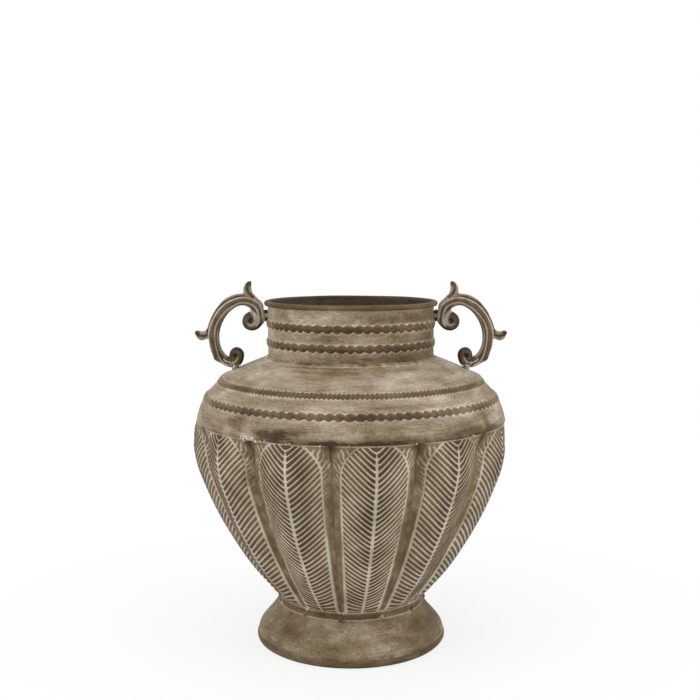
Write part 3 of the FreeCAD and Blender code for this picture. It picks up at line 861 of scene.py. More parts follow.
def spun_piece(name, outer, inner, columns, ropes, tone_of, material, dents, patches, seed, inner_tone=0.0):
    """Turn a section, with its ropes, dents and patches."""
    turn = np.linspace(0, FULL_TURN, columns, endpoint=False)[None, :]
    outward = outward_of(outer)
    run = run_along(outer)
    tone = np.broadcast_to(tone_of(run, outer, turn[0]), (len(outer), columns))
    rise, tone = add_ropes(run, turn, tone, ropes)
    radius = outer[:, 0:1] + outward[:, 0:1] * rise
    level = outer[:, 1:2] + outward[:, 1:2] * rise
    points = turned(radius, turn, level)
    push = dents * waves(points, DENT_SIZE, seed)
    points[..., 0] += push * np.cos(turn) * outward[:, 0:1]
    points[..., 1] += push * np.sin(turn) * outward[:, 0:1]
    points[..., 2] += push * outward[:, 1:2] * smooth(*FLOOR_FADE, points[..., 2])
    back = turned(inner[:, 0:1], turn, inner[:, 1:2])
    stretched = points * np.array(PATCH_STRETCH)
    tone = tone + patches * (waves(stretched, 75, 7 + seed) + 0.6 * waves(stretched, 24, 12 + seed))
    points = np.concatenate([points, back]).reshape(-1, 3)
    tones = np.concatenate([tone, np.full((len(inner), columns), inner_tone)]).ravel()
    faces = spun_faces(len(outer) + len(inner), columns)
    return make_object(name, points, faces, tones, material)


FINE_STEP = 0.55
COARSE_STEP = 6.0
SIDE_ROPE_DROP = 1.2  # how far below the corners of the shoulder its ropes lie
FACET_ROPE_DROP = 2.6
SIDE_ROPE_COUNT = 104  # strands round the shoulder
FACET_ROPE_COUNT = 192
SIDE_ROPE_HEIGHT = 0.9
FACET_ROPE_HEIGHT = 0.8
SHOULDER_COLUMNS = 12 * SIDE_ROPE_COUNT
SIDE_TONES = (0.56, 0.62)  # near the seam, and above it
SIDE_TONE_RUN = (14, 20)
FACET_TONE = 0.63
CONE_TONE = 0.56
CONE_SIDE_LIGHT_REACH = (0.25, 0.85)  # where round the vase, as |cos| of the turn, painted side light makes the cone paler
# How much painted side light lightens the cone
CONE_SIDE_LIGHT = 0.19
SEAM_BAND_TONE = 0.34


def shoulder_tone(run, turn, side_run, bend_run):
    tone = mix(*SIDE_TONES, smooth(*SIDE_TONE_RUN, run))
    tone = mix(tone, FACET_TONE, smooth(side_run - 2, side_run + 2, run))
    tone = mix(tone, CONE_TONE, smooth(bend_run + 4, bend_run + 20, run))[:, None]
    # A darker band of uneven width along the seam
    seam_ring = turned(SEAM_RADIUS, turn, 0)
    reach = 3 + 3 * waves(seam_ring, 90, 17) + 1.5 * waves(seam_ring, 14, 18)
    seam_band = smooth(1, 0.2, run[:, None] / np.maximum(reach, 2.2)[None, :])
    # Painted light: the cone is painted paler towards the sides of the vase.
    paler = smooth(*CONE_SIDE_LIGHT_REACH, np.abs(np.cos(turn)))[None, :] * smooth(4, 12, run - bend_run)[:, None]
    marks = marks_tone(SHOULDER_MARKS, run, turn, BEND[0])
    return mix(tone, SEAM_BAND_TONE, seam_band) + marks + CONE_SIDE_LIGHT * paler


def make_shoulder():
    hole = NECK_RADIUS + SEAM_GAP
    start = (hole, TOP[1] + CONE_SLOPE * (TOP[0] - hole))
    corners = [(SEAM_RADIUS, SEAM_HEIGHT), (*SIDE, SIDE_BULGE), BEND]
    outer = section_path([*corners, (*TOP, CONE_BULGE), start], FINE_STEP)
    inner = offset_inward(section_path([*corners, TOP, start], COARSE_STEP), SHEET)
    run = run_along(outer)
    side_run = run[np.argmin(np.linalg.norm(outer - SIDE, axis=1))]
    bend_run = run[np.argmin(np.linalg.norm(outer - BEND, axis=1))]
    ropes = (
        (side_run - SIDE_ROPE_DROP, SIDE_ROPE_COUNT, SIDE_ROPE, SIDE_ROPE_HEIGHT, 0.0),
        (bend_run - FACET_ROPE_DROP, FACET_ROPE_COUNT, FACET_ROPE, FACET_ROPE_HEIGHT, 0.013),
    )
    piece = spun_piece(
        "shoulder_sheet", outer, inner, SHOULDER_COLUMNS, ropes,
        lambda run, path, turn: shoulder_tone(run, turn, side_run, bend_run),
        spun_finish, dents=0.12, patches=0.07, seed=14,
    )
    show_piece(piece, "spun_sheet", "shoulder")


NECK_ROPE_COUNT = 56
NECK_ROPE_HEIGHT = 1.5
NECK_COLUMNS_PER_STRAND = 13
NECK_TONE = 0.5
NECK_LOW_SHADE = 0.06
NECK_LOW_LEVELS = (288, 278)
NECK_TOP_WASH = 0.16
NECK_TOP_LEVELS = (321, 324.5)
NECK_SIDE_SHADE = 0.17  # painted shade and light: how much darker the right side and paler the left side are than the front, as if lit from the left
ROLL_TURN = (-118, 180)  # degrees round the rolled rim, from the wall to the bore
ROLL_POINTS = 22
ROLL_WALL_LAP = 0.2
ROLL_BORE_LAP = 2.0
ROLL_TONE = 0.22
ROLL_INNER_TONE = 0.08
ROLL_INNER_WIDTH = 0.8


def neck_tone(run, path, turn, wall_length):
    radius, level = path[:, 0], path[:, 1]
    tone = NECK_TONE - NECK_LOW_SHADE * smooth(*NECK_LOW_LEVELS, level)
    tone = tone + NECK_TOP_WASH * smooth(*NECK_TOP_LEVELS, level)
    rolled = run > wall_length
    tone = np.where(rolled, ROLL_TONE, tone)
    tone = np.where((radius < NECK_RADIUS - SHEET + ROLL_INNER_WIDTH) & rolled, ROLL_INNER_TONE, tone)
    # Painted shade and light: the right of the neck is painted darker and its left paler.
    marks = marks_tone(NECK_MARKS, run, turn, NECK_RADIUS) - NECK_SIDE_SHADE * np.cos(turn)[None, :]
    return tone[:, None] + marks * (~rolled)[:, None]


def make_neck():
    bore = NECK_RADIUS - SHEET
    middle = (bore + ROLL_RADIUS, RIM_HEIGHT - ROLL_RADIUS)
    wall_top = middle[1] - ROLL_RADIUS + ROLL_WALL_LAP
    wall = section_path([(NECK_RADIUS, NECK_FOOT), (NECK_RADIUS, wall_top)], FINE_STEP)
    outer = np.concatenate([wall, arc_path(middle, ROLL_RADIUS, *ROLL_TURN, ROLL_POINTS)])
    down = section_path([(bore, middle[1] - ROLL_BORE_LAP), (bore, NECK_FOOT)], COARSE_STEP)
    wall_length = run_along(outer)[len(wall) - 1]
    ropes = [
        (level - NECK_FOOT, NECK_ROPE_COUNT, NECK_ROPE, NECK_ROPE_HEIGHT, first)
        for level, first in zip(NECK_BEADS, (0.0, 0.031))
    ]
    piece = spun_piece(
        "neck_sheet", outer, down, NECK_ROPE_COUNT * NECK_COLUMNS_PER_STRAND, ropes,
        lambda run, path, turn: neck_tone(run, path, turn, wall_length),
        spun_finish, dents=0.1, patches=0.05, seed=10, inner_tone=0.1,
    )
    show_piece(piece, "spun_sheet", "neck")


FOOT_COLUMNS = 540
COLLAR_STEP = 2.5
UNDER_STEP = 5.0
FLARE_POINTS = 48
FLARE_LEAVE = 50  # degrees round the rolled edge at which the flare runs into it
EDGE_POINTS = 20
TUCK_POINTS = 8
FOOT_TONE = 0.42
COLLAR_WASH = 0.25
COLLAR_WASH_LEVELS = (36.6, 37.6)
EDGE_TONE = 0.24
EDGE_LEVELS = (10.5, 6.5)
EDGE_LOW_SHADE = 0.1
EDGE_LOW_LEVELS = (3.0, 1.0)
EDGE_LINE_LEVEL = 8.4
EDGE_LINE_WIDTH = 0.6
# Painted shade: how much darker the right side of the foot is, as if lit from the left
FOOT_SIDE_SHADE = 0.1


def foot_tone(run, path, turn):
    level = path[:, 1]
    tone = FOOT_TONE + COLLAR_WASH * smooth(*COLLAR_WASH_LEVELS, level)
    tone = mix(tone, EDGE_TONE, smooth(*EDGE_LEVELS, level))
    tone = tone - EDGE_LOW_SHADE * smooth(*EDGE_LOW_LEVELS, level)
    foot_ring = turned(FOOT_RADIUS, turn, 0)
    worn = np.clip(0.06 + 0.14 * waves(foot_ring, 30, 31) + 0.12 * waves(foot_ring, 9, 32), 0, 0.5)
    line = 1.5 * np.exp(-(((level - EDGE_LINE_LEVEL) / EDGE_LINE_WIDTH) ** 2))
    # Painted shade on the right side of the foot
    darker = FOOT_SIDE_SHADE * np.maximum(np.cos(turn), 0)[None, :]
    marks = marks_tone(FOOT_MARKS, run, turn, COLLAR_RADIUS + 8)
    return tone[:, None] - darker + marks + line[:, None] * worn[None, :]


def make_foot():
    edge = (FOOT_RADIUS - EDGE_RADIUS, EDGE_RADIUS)
    leave = math.radians(FLARE_LEAVE)
    start = np.array((COLLAR_RADIUS, WAIST_HEIGHT))
    end = np.array(edge) + EDGE_RADIUS * np.array((math.cos(leave), math.sin(leave)))
    share = np.linspace(0, 1, FLARE_POINTS)[1:, None]
    square = np.array((start[1] - end[1], end[0] - start[0])) / np.linalg.norm(end - start)
    swell = FLARE_BULGE * 4 * share**FLARE_LEAN * (1 - share**FLARE_LEAN)
    collar = section_path([(COLLAR_RADIUS, COLLAR_HEIGHT), start], COLLAR_STEP)
    roll = arc_path(edge, EDGE_RADIUS, FLARE_LEAVE, -90, EDGE_POINTS)[1:]
    tuck = arc_path(edge, EDGE_RADIUS, -90, -180, TUCK_POINTS)[1:]
    outer = np.concatenate([collar, start + (end - start) * share + square * swell, roll, tuck])
    inside = COLLAR_RADIUS - SHEET
    under = section_path(
        [(edge[0] - EDGE_RADIUS + SHEET, edge[1]), (inside, WAIST_HEIGHT - SHEET), (inside, COLLAR_HEIGHT)],
        UNDER_STEP,
    )
    piece = spun_piece(
        "foot_sheet", outer, under, FOOT_COLUMNS, (), foot_tone, foot_finish, dents=0.15, patches=0.075,
        seed=10, inner_tone=0.05,
    )
    show_piece(piece, "foot_sheet", "foot")


# Handles

UPPER_EYE = (95.4, 310.1)
LOWER_EYE = (110.8, 276.5)
# Outline of the casting in its own plane, in smooth runs that meet at corners
OUTLINE_RUNS = (
    ((81.0, 314.1), (81.9, 317.2), (83.1, 320.3), (83.5, 323.4), (84.4, 326.5), (86.1, 328.9),
     (88.5, 331.1), (91.3, 333.8), (93.6, 336.5), (94.7, 339.3), (95.0, 342.6), (94.7, 345.6),
     (95.2, 347.4), (96.5, 348.2), (98.5, 347.7), (100.7, 345.8), (102.3, 343.5), (103.1, 340.7),
     (103.0, 337.9), (103.9, 336.3)),
    ((103.9, 336.3), (107.3, 336.0), (111.0, 335.5), (115.7, 334.0), (120.3, 331.4), (124.7, 327.5),
     (128.8, 322.5), (132.3, 317.1), (134.9, 311.6), (137.0, 306.4), (138.4, 302.5), (140.9, 300.3),
     (144.3, 300.0), (147.2, 300.6), (149.0, 300.4), (150.1, 299.0), (150.1, 297.5), (149.0, 295.5),
     (147.5, 292.9), (145.1, 291.1), (142.5, 290.5), (139.6, 291.4), (136.9, 292.1)),
    ((136.9, 292.1), (136.5, 289.3), (136.2, 286.1), (135.1, 281.8), (133.6, 277.3), (131.9, 272.7)),
    ((131.9, 272.7), (129.2, 270.4), (124.9, 268.2), (120.5, 265.8), (116.0, 264.7), (111.2, 264.8),
     (106.2, 266.4)),
    ((106.2, 266.4), (104.2, 269.3), (102.9, 273.0), (102.4, 276.8), (103.1, 280.0), (104.9, 282.5),
     (107.6, 284.1), (110.7, 284.6), (113.6, 283.7), (115.8, 281.5), (116.9, 278.5), (117.6, 275.4)),
    ((117.6, 275.4), (120.5, 277.5), (122.8, 280.5), (124.9, 284.9), (125.9, 289.3), (126.1, 294.2),
     (125.7, 299.2), (124.4, 304.2), (122.0, 309.7), (118.6, 314.9), (114.3, 319.3), (109.3, 322.7),
     (104.4, 324.2), (100.2, 323.5), (97.3, 321.8), (96.0, 319.7)),
    ((96.0, 319.7), (99.0, 318.2), (102.0, 315.9), (103.9, 312.6), (104.4, 309.2), (103.7, 305.6),
     (101.5, 302.5), (98.3, 300.6), (94.4, 300.0), (89.9, 301.1), (86.0, 304.1), (83.0, 307.9),
     (81.4, 311.4), (81.0, 314.1)),
)
OUTLINE_INSET = 0.5
# Pale grooves on each side of the round bead. The inner one winds into both curls.
OUTER_GROOVE = (
    (85.2, 313.5), (85.1, 317.2), (85.7, 321.6), (87.5, 325.6), (90.7, 328.5), (94.7, 330.8),
    (99.0, 332.0), (103.7, 332.2), (108.6, 331.6), (114.2, 329.6), (119.1, 327.0), (123.5, 323.4),
    (127.3, 319.1), (130.8, 313.8), (133.3, 308.8), (135.2, 303.6), (136.3, 298.6), (136.4, 294.2),
    (135.9, 290.5), (135.2, 285.5), (133.9, 280.5), (132.2, 276.0), (130.6, 273.2), (128.2, 271.0),
    (124.6, 269.0), (120.8, 267.0), (118.0, 265.9),
)
INNER_GROOVE = (
    (117.7, 266.9), (120.6, 268.2), (123.5, 270.2), (125.7, 273.1), (127.3, 276.6), (128.6, 281.2),
    (129.7, 286.0), (130.4, 292.0), (130.5, 298.6), (129.5, 304.2), (126.9, 309.8), (123.0, 315.4),
    (118.6, 320.0), (113.0, 324.0), (108.0, 326.5), (103.7, 327.5), (99.4, 327.0), (95.1, 325.5),
    (91.7, 323.0), (89.6, 319.3), (88.3, 314.1), (88.2, 310.5), (89.2, 307.5), (91.0, 305.3),
)
UPPER_CURL = (
    (95.3, 318.8), (93.5, 317.2), (91.9, 314.9), (91.1, 312.2), (91.4, 309.2), (92.8, 307.0),
    (95.2, 305.9), (97.6, 306.3), (99.3, 307.8),
)
UPPER_CURL_HALVES = (1.5, 2.2, 1.4, 0.4)  # half width of the pale slope along the upper curl
LOWER_CURL = (
    (122.1, 273.0), (119.7, 270.9), (116.8, 270.0), (113.7, 270.0), (111.0, 271.1), (109.5, 273.1),
    (109.0, 276.0),
)
HEEL = (131.2, 273.2)
TOP_LEAF_VEIN = (
    (97.0, 346.6), (98.6, 343.6), (98.8, 340.0), (97.6, 336.6), (94.4, 333.4), (90.8, 330.8),
)
SIDE_LEAF_VEIN = ((148.8, 298.6), (145.6, 296.2), (142.2, 295.2), (139.2, 295.5), (137.4, 296.8))
CAST_CELL = 0.4
CAST_HALF = 3.2
BEAD_RISE = 1.6
SNAP_REACH = 0.55 * CAST_CELL  # how far a point of the grid is moved to reach the outline


def through(points, step=0.5):
    """A smooth line through the points."""
    points = np.asarray(points, float)
    run = run_along(points)
    places = np.linspace(0, run[-1], max(3, int(run[-1] / step)))
    return np.stack([cubic(run, points[:, 0])(places), cubic(run, points[:, 1])(places)], axis=-1)


def is_inside(points, loop):
    """Whether each flat point lies inside a closed line."""
    inside = np.zeros(points.shape[:-1], bool)
    for (x0, y0), (x1, y1) in zip(loop, np.roll(loop, -1, axis=0)):
        if y0 == y1:
            continue
        crosses = (y0 > points[..., 1]) != (y1 > points[..., 1])
        inside ^= crosses & (points[..., 0] < x0 + (points[..., 1] - y0) * (x1 - x0) / (y1 - y0))
    return inside


def round_over(distance, reach):
    """A quarter round: 0 at the edge and 1 from this reach inwards."""
    share = np.clip(distance / reach, 0, 1)
    return np.sqrt(1 - (1 - share) ** 2)


def blur(field, times):
    for _ in range(times):
        padded = np.pad(field, 1, mode="edge")
        field = (
            padded[:-2, 1:-1] + padded[2:, 1:-1] + padded[1:-1, :-2] + padded[1:-1, 2:] + 4 * field
        ) / 8
    return field


# Relief and tone of the casting. A reach is a pair of distances from a line, an eye or the heel.
GROOVE_DEPTH = 0.6
EYE_DEPTH = 1.6
SLOPE_DEPTH = 0.8
GROOVE_REACH = (1.0, 0.4)
EYE_REACH = (2.9, 1.9)
HEEL_REACH = (4.5, 1.5)
GROOVE_TONE = 0.95
SLOPE_TONE = 0.8
EYE_TONE = 0.02
HEEL_TONE = 0.08
CURL_ROLL_REACH = (11.2, 9.6)
LOWER_ROLL_REACH = (9.5, 8.2)
CURL_ROLL_START = 80  # from the axis
FACE_TONE = 0.6
STRIP_SHADE = 0.56  # how much darker the strip on each side of the bead is
STRIP_REACH = (2.7, 1.8)
STRIP_START = (98, 108)  # from the axis
INNER_LINE = (1.3, 0.45)  # distance from the edge, and width, of the pale line inside the arc
LOW_PART = (304, 290)  # heights between which the inside of the arc turns pale
LEAF_REACH = (5.5, 3.5)
LEAF_TONE = 0.64
LEAF_VEIN_SHADE = 0.52
TIP_REACH = (5.2, 2.4)
TIP_THINNING = 0.8
TIP_TONE = 0.02
LEAF_TIPS = ((TOP_LEAF_VEIN, (96.6, 346.8)), (SIDE_LEAF_VEIN, (148.8, 298.3)))


def distance_from(points, place):
    return np.linalg.norm(points - np.array(place), axis=-1)


def cast_fields(points, edge):
    """Distances and shares by place, from the lines that are pressed into the casting."""
    outer, inner = through(OUTER_GROOVE), through(INNER_GROOVE)
    bead = is_inside(points, np.concatenate([outer, inner]))
    groove = np.min([distance_to(points, line) for line in (outer, inner, through(LOWER_CURL))], axis=0)
    curl = through(UPPER_CURL)
    halves = np.interp(np.linspace(0, 3, len(curl)), range(4), UPPER_CURL_HALVES)
    to_curl = np.min([distance_from(points, p) - w for p, w in zip(curl, halves)], axis=0)
    upper, lower = distance_from(points, UPPER_EYE), distance_from(points, LOWER_EYE)
    roll = smooth(*CURL_ROLL_REACH, upper) * (points[..., 0] > CURL_ROLL_START)
    roll = roll + smooth(*LOWER_ROLL_REACH, lower)
    inner_loop = np.concatenate([inner[::-1], through(OUTLINE_RUNS[5])])
    return {
        "bead": bead, "groove": groove, "sloped": smooth(0.5, -0.4, to_curl),
        "eye": np.minimum(upper, lower), "roll": np.clip(roll, 0, 1) * (1 - bead),
        "raised": round_over(np.minimum(groove, edge), 2.2), "inside": is_inside(points, inner_loop),
    }


def cast_half(edge, field):
    """Half thickness of the casting."""
    bead, roll, raised = field["bead"], field["roll"], field["raised"]
    half = CAST_HALF - 0.5 + 0.5 * round_over(edge, 1.2) + BEAD_RISE * raised * np.maximum(bead, 0.8 * roll)
    half = half + 0.35 * raised * (1 - bead) * (1 - roll)
    half = half - GROOVE_DEPTH * smooth(0.9, 0.2, field["groove"])
    return half - EYE_DEPTH * smooth(2.6, 1.2, field["eye"]) - SLOPE_DEPTH * field["sloped"]


def cast_tone(points, edge, field):
    groove = field["groove"]
    strip = smooth(*STRIP_REACH, groove) * smooth(0.2, 1.1, edge) * smooth(*STRIP_START, points[..., 0])
    tone = FACE_TONE - STRIP_SHADE * strip - 0.12 * smooth(1.6, 0.8, groove)
    low = smooth(*LOW_PART, points[..., 1])
    line = np.exp(-(((edge - INNER_LINE[0]) / INNER_LINE[1]) ** 2))
    inside = 0.04 + 0.5 * line * (1 - low) + 0.6 * smooth(2.5, 1.3, edge) * low
    tone = np.where(field["inside"], inside, tone)
    layers = (
        (0.04 + 0.2 * field["raised"], field["bead"]),
        (0.2 - 0.24 * smooth(3.2, 0.4, edge), field["roll"]),
        (GROOVE_TONE, smooth(*GROOVE_REACH, groove) * smooth(0.2, 0.7, edge)),
        (SLOPE_TONE, field["sloped"]),
        (EYE_TONE, smooth(*EYE_REACH, field["eye"])),
        (HEEL_TONE, smooth(*HEEL_REACH, distance_from(points, HEEL))),
    )
    for layer_tone, share in layers:
        tone = mix(tone, layer_tone, share)
    return tone


def cast_relief(points, edge):
    """Half thickness and tone of the casting by place."""
    field = cast_fields(points, edge)
    half, tone = cast_half(edge, field), cast_tone(points, edge, field)
    for vein, tip in LEAF_TIPS:
        line = through(vein)
        near = distance_to(points, line)
        outer_part = line[: len(line) * 2 // 3]
        leaf = smooth(*LEAF_REACH, near) * (1 - field["bead"]) * (distance_to(points, outer_part) < 5)
        to_tip = distance_from(points, tip)
        half = half - 0.9 * leaf * smooth(2.2, 0.2, near) - TIP_THINNING * smooth(5, 0, to_tip)
        tone = mix(tone, LEAF_TONE - LEAF_VEIN_SHADE * smooth(2.0, 0.6, near), leaf)
        tone = mix(tone, TIP_TONE, smooth(*TIP_REACH, to_tip))
    return half, tone


def cut_grid(kept):
    """Faces of a grid whose four corners are all kept, and the numbers of the points that they use."""
    number = np.arange(kept.size).reshape(kept.shape)
    whole = kept[:-1, :-1] & kept[1:, :-1] & kept[1:, 1:] & kept[:-1, 1:]
    corners = (number[:-1, :-1], number[1:, :-1], number[1:, 1:], number[:-1, 1:])
    faces = np.stack([corner[whole] for corner in corners], axis=-1)
    used = np.unique(faces)
    renumber = np.full(kept.size, -1)
    renumber[used] = np.arange(len(used))
    return [tuple(face) for face in renumber[faces].tolist()], used


def cast_grid():
    """Points of a grid over the casting, moved to its outline, and their distance inside it."""
    outline = np.concatenate([through(run)[:-1] for run in OUTLINE_RUNS])
    low, high = outline.min(axis=0) - 1, outline.max(axis=0) + 1
    axes = [np.arange(a, b, CAST_CELL) for a, b in zip(low, high)]
    points = np.stack(np.meshgrid(*axes, indexing="ij"), axis=-1)
    distance = distance_to(points, np.concatenate([outline, outline[:1]]))
    edge = np.where(is_inside(points, outline), distance, -distance) - OUTLINE_INSET
    slope = np.stack(np.gradient(edge, CAST_CELL), axis=-1)
    slope /= np.maximum(np.linalg.norm(slope, axis=-1, keepdims=True), 0.5)
    snap = np.abs(edge) < SNAP_REACH
    return np.where(snap[..., None], points - slope * edge[..., None], points), edge


def make_handles():
    """A casting with the same relief on both faces, as a grid that is cut to its outline."""
    points, edge = cast_grid()
    half, tone = cast_relief(points, np.maximum(edge, 0))
    half, tone = blur(half, 4), blur(tone, 1)
    faces, used = cut_grid(edge > -SNAP_REACH)
    flat, half, tone = points.reshape(-1, 2)[used], half.ravel()[used], tone.ravel()[used]
    front = np.stack([flat[:, 0], -half, flat[:, 1]], axis=-1)
    shape = np.concatenate([front, front * np.array([1, -1, 1])])
    tones = np.concatenate([tone, tone])
    faces = shell_faces(len(used), faces)
    for side, way in (("right", 1), ("left", -1)):
        moved = shape * np.array([way, way, 1])
        uneven = 0.05 * waves(moved, 9, 70 + way)
        piece = make_object(f"scroll_handle_{side}", moved, faces, tones + uneven, cast_finish)
        show_piece(piece, "cast_handle", f"handle_{side}")


# Welds

LUMP_RINGS = 18
LUMP_COLUMNS = 28
LUMP_POLE = 0.06  # angle of the first ring from the pole
DARK_DROP_TONE = 0.0
BRIGHT_TONE = 0.95


def lump(centre, radii, seed, tone):
    """Points, faces and tones of a rough drop of weld."""
    polar = np.linspace(LUMP_POLE, math.pi - LUMP_POLE, LUMP_RINGS)[:, None]
    turn = np.linspace(0, FULL_TURN, LUMP_COLUMNS, endpoint=False)[None, :]
    unit = turned(np.sin(polar), turn, np.cos(polar))
    swell = 1 + 0.16 * waves(unit * 10, 9, seed) + 0.08 * waves(unit * 10, 4, seed + 1)
    points = (unit * swell[..., None] * np.array(radii) + np.array(centre)).reshape(-1, 3)
    faces = [tuple(face) for face in spun_faces(LUMP_RINGS, LUMP_COLUMNS, closed_loop=False)]
    faces.append(tuple(range(LUMP_COLUMNS - 1, -1, -1)))
    faces.append(tuple(range((LUMP_RINGS - 1) * LUMP_COLUMNS, LUMP_RINGS * LUMP_COLUMNS)))
    return points, faces, tone + 0.2 * waves(points, 3, seed + 2)


def join_lumps(name, lumps, *nodes):
    points, faces, tones = [], [], []
    for some_points, some_faces, some_tones in lumps:
        first = sum(len(p) for p in points)
        faces += [tuple(v + first for v in face) for face in some_faces]
        points.append(some_points)
        tones.append(some_tones)
    piece = make_object(name, np.concatenate(points), faces, np.concatenate(tones), weld_finish)
    show_piece(piece, "weld", *nodes)


def node_middle(name):
    """Middle and half size of a node."""
    low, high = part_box(name)
    return [(a + b) / 2 / MM for a, b in zip(low, high)], [(b - a) / 2 / MM for a, b in zip(low, high)]


# Pale drops under the lower curl: distance from the axis, height, radii, tone
CURL_DROPS = ((112.0, 265.6, (3.2, 5.0, 4.0), 0.9), (114.6, 268.6, (2.6, 5.3, 2.6), 0.8))


def make_neck_weld(side, way, seed):
    """A bright bridge of weld with a dark drop above and below it."""
    (x, y, z), (half_x, half_y, half_z) = node_middle(f"neck_weld_{side}")
    drops = [lump((x, y, z), (half_x * 1.15, half_y, half_z * 1.35), seed, BRIGHT_TONE)]
    for lift in (-1, 1):
        place = (x + way * 0.3, y, z + lift * half_z * 1.6)
        radii = (half_x * 1.35, half_y * 0.8, half_z)
        drops.append(lump(place, radii, seed + 20 + lift, DARK_DROP_TONE))
    join_lumps(f"neck_weld_bead_{side}", drops, f"neck_weld_{side}")


def make_shoulder_weld(side, way, seed):
    middle, halves = node_middle(f"shoulder_weld_{side}")
    drops = [lump(middle, [half * 1.05 for half in halves], seed + 4, 0.5)]
    for number, (reach, height, radii, tone) in enumerate(CURL_DROPS):
        drops.append(lump((way * reach, middle[1], height), radii, seed + 5 + number, tone))
    join_lumps(f"shoulder_weld_bead_{side}", drops, f"shoulder_weld_{side}")


def make_welds():
    for side, way, seed in (("right", 1, 3), ("left", -1, 8)):
        make_neck_weld(side, way, seed)
        make_shoulder_weld(side, way, seed)


LIP_SPOT_SIZE = 2.5
LIP_SPOT_EXTRA = 1.3  # how much larger every fourth spot is
LIP_SPOT_LIFT = 2.2


def make_lip_spots():
    """Spots of weld low on the lips, where two gores meet."""
    spots = []
    for number in range(GORE_COUNT):
        turn = GORE_TURN - math.pi / 2 + (number + 0.5) * 2 * HALF_PITCH
        size = LIP_SPOT_SIZE + LIP_SPOT_EXTRA * (number % 4 == 3)
        reach = LIP_RADIUS + SEAM_GAP - 0.45 * size
        centre = turned(reach, turn, WAIST_HEIGHT + LIP_SPOT_LIFT)
        spots.append(lump(centre, (size, size, size), 30 + number, 0.2 + 0.4 * (number % 3 == 0)))
    join_lumps("lip_weld_spots", spots)


# Spatter of weld on the seam: degrees right of the front and size
SEAM_DROPS = (
    (-36.7, 2.4), (-38.6, 1.6), (-35.0, 1.9), (-33.4, 1.4), (-36.0, 1.2), (-32.4, 0.9), (-39.8, 1.0),
    (-31.4, 1.1), (-29.8, 0.8), (-21.6, 0.9), (-20.4, 0.7), (-10.1, 0.9), (-0.6, 0.6), (22.0, 0.6),
    (46.4, 0.9), (118.0, 1.6), (120.2, 1.0), (171.0, 1.0), (205.0, 2.0), (207.5, 1.2), (251.0, 0.8),
)
SEAM_DROP_TONE = 0.92


def make_seam_drops():
    drops = []
    for number, (degrees, size) in enumerate(SEAM_DROPS):
        turn = math.radians(degrees) - math.pi / 2
        reach = SEAM_RADIUS - 0.3 * size
        lift = 0.5 * size * (-1) ** number
        centre = turned(reach, turn, SEAM_HEIGHT + lift)
        drops.append(lump(centre, (size, size, size), 50 + number, SEAM_DROP_TONE))
    join_lumps("seam_weld_drops", drops)


SOLDER_COLUMNS = 720
SOLDER_WIDTH = 3.8
SOLDER_OVERLAP = 0.05
SOLDER_SINK = 0.2
SOLDER_INSET = 0.9  # how far the bead stays under the height of its node
# Section of the bead: share of its width, share of its height, tone
SOLDER_SHARES = (
    (0, 0, 0.3), (1.02, -0.1, 0.74), (1.0, 0.16, 0.74), (0.88, 0.4, 0.68),
    (0.6, 0.42, 0.48), (0.28, 0.56, 0.46), (0.06, 0.86, 0.44), (0, 1, 0.44),
)


def make_solder():
    """Rough fillet where the neck goes through the shoulder."""
    turn = np.linspace(0, FULL_TURN, SOLDER_COLUMNS, endpoint=False)
    low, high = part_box("neck_solder")
    tall = (high[2] - low[2]) / MM - SOLDER_INSET
    width_share, height_share, shades = (column[:, None] for column in np.array(SOLDER_SHARES).T)
    neck_ring = turned(NECK_RADIUS, turn, 0)
    size = 1 + 0.1 * waves(neck_ring, 30, 5) + 0.05 * waves(neck_ring, 8, 6)
    radius = NECK_RADIUS + SOLDER_OVERLAP + width_share * SOLDER_WIDTH * size
    ground = TOP[1] + CONE_SLOPE * (TOP[0] - radius) - SOLDER_SINK
    level = ground + height_share * tall * size
    points = turned(radius, turn, level)
    tones = shades + 0.16 * waves(neck_ring, 34, 9) + 0.12 * waves(neck_ring, 7, 10)
    faces = spun_faces(len(SOLDER_SHARES), SOLDER_COLUMNS)
    piece = make_object("neck_solder_bead", points.reshape(-1, 3), faces, tones, weld_finish)
    show_piece(piece, "weld", "neck_solder")


gore_grid = make_gore_grid()
for number in range(1, GORE_COUNT + 1):
    make_gore(number, gore_grid)
make_shoulder()
make_neck()
make_foot()
make_handles()
make_welds()
make_lip_spots()
make_seam_drops()
make_solder()
for name in ("bowl_floor", "rim_wire", "foot_wire"):
    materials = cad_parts[name].data.materials
    materials.clear()
    materials.append(inner_finish)


# Stage: floor, backdrop, lamps and camera. Its lengths are in metres.

FLOOR_HALF = 6.0
FLOOR_FADE_RUN = (0.1, 0.45)  # from the axis: how far out the shadow on the floor fades
FLOOR_FADE_START = 0.8
WORLD_STRENGTH = 0.45
VASE_MIDDLE = (0, 0, 0.2)
LAMPS = (  # name, place, size, power
    ("key", (-1.5, -0.85, 1.3), 1.2, 17), ("fill", (1.6, -0.65, 1.0), 1.2, 15),
    ("front", (0.0, -1.8, 1.0), 1.2, 3), ("top", (0.0, 0.1, 1.9), 1.4, 7),
)
PHOTO_SIZE = 700
FOCAL_PIXELS = 1065
HORIZON_PIXELS = 115
AXIS_PIXELS = 0.9  # how far right of the middle of the photo the vase stands
CAMERA_PLACE = (0.0, -1.019, 0.3915)
SENSOR_WIDTH = 36
WHITE = (1, 1, 1, 1)


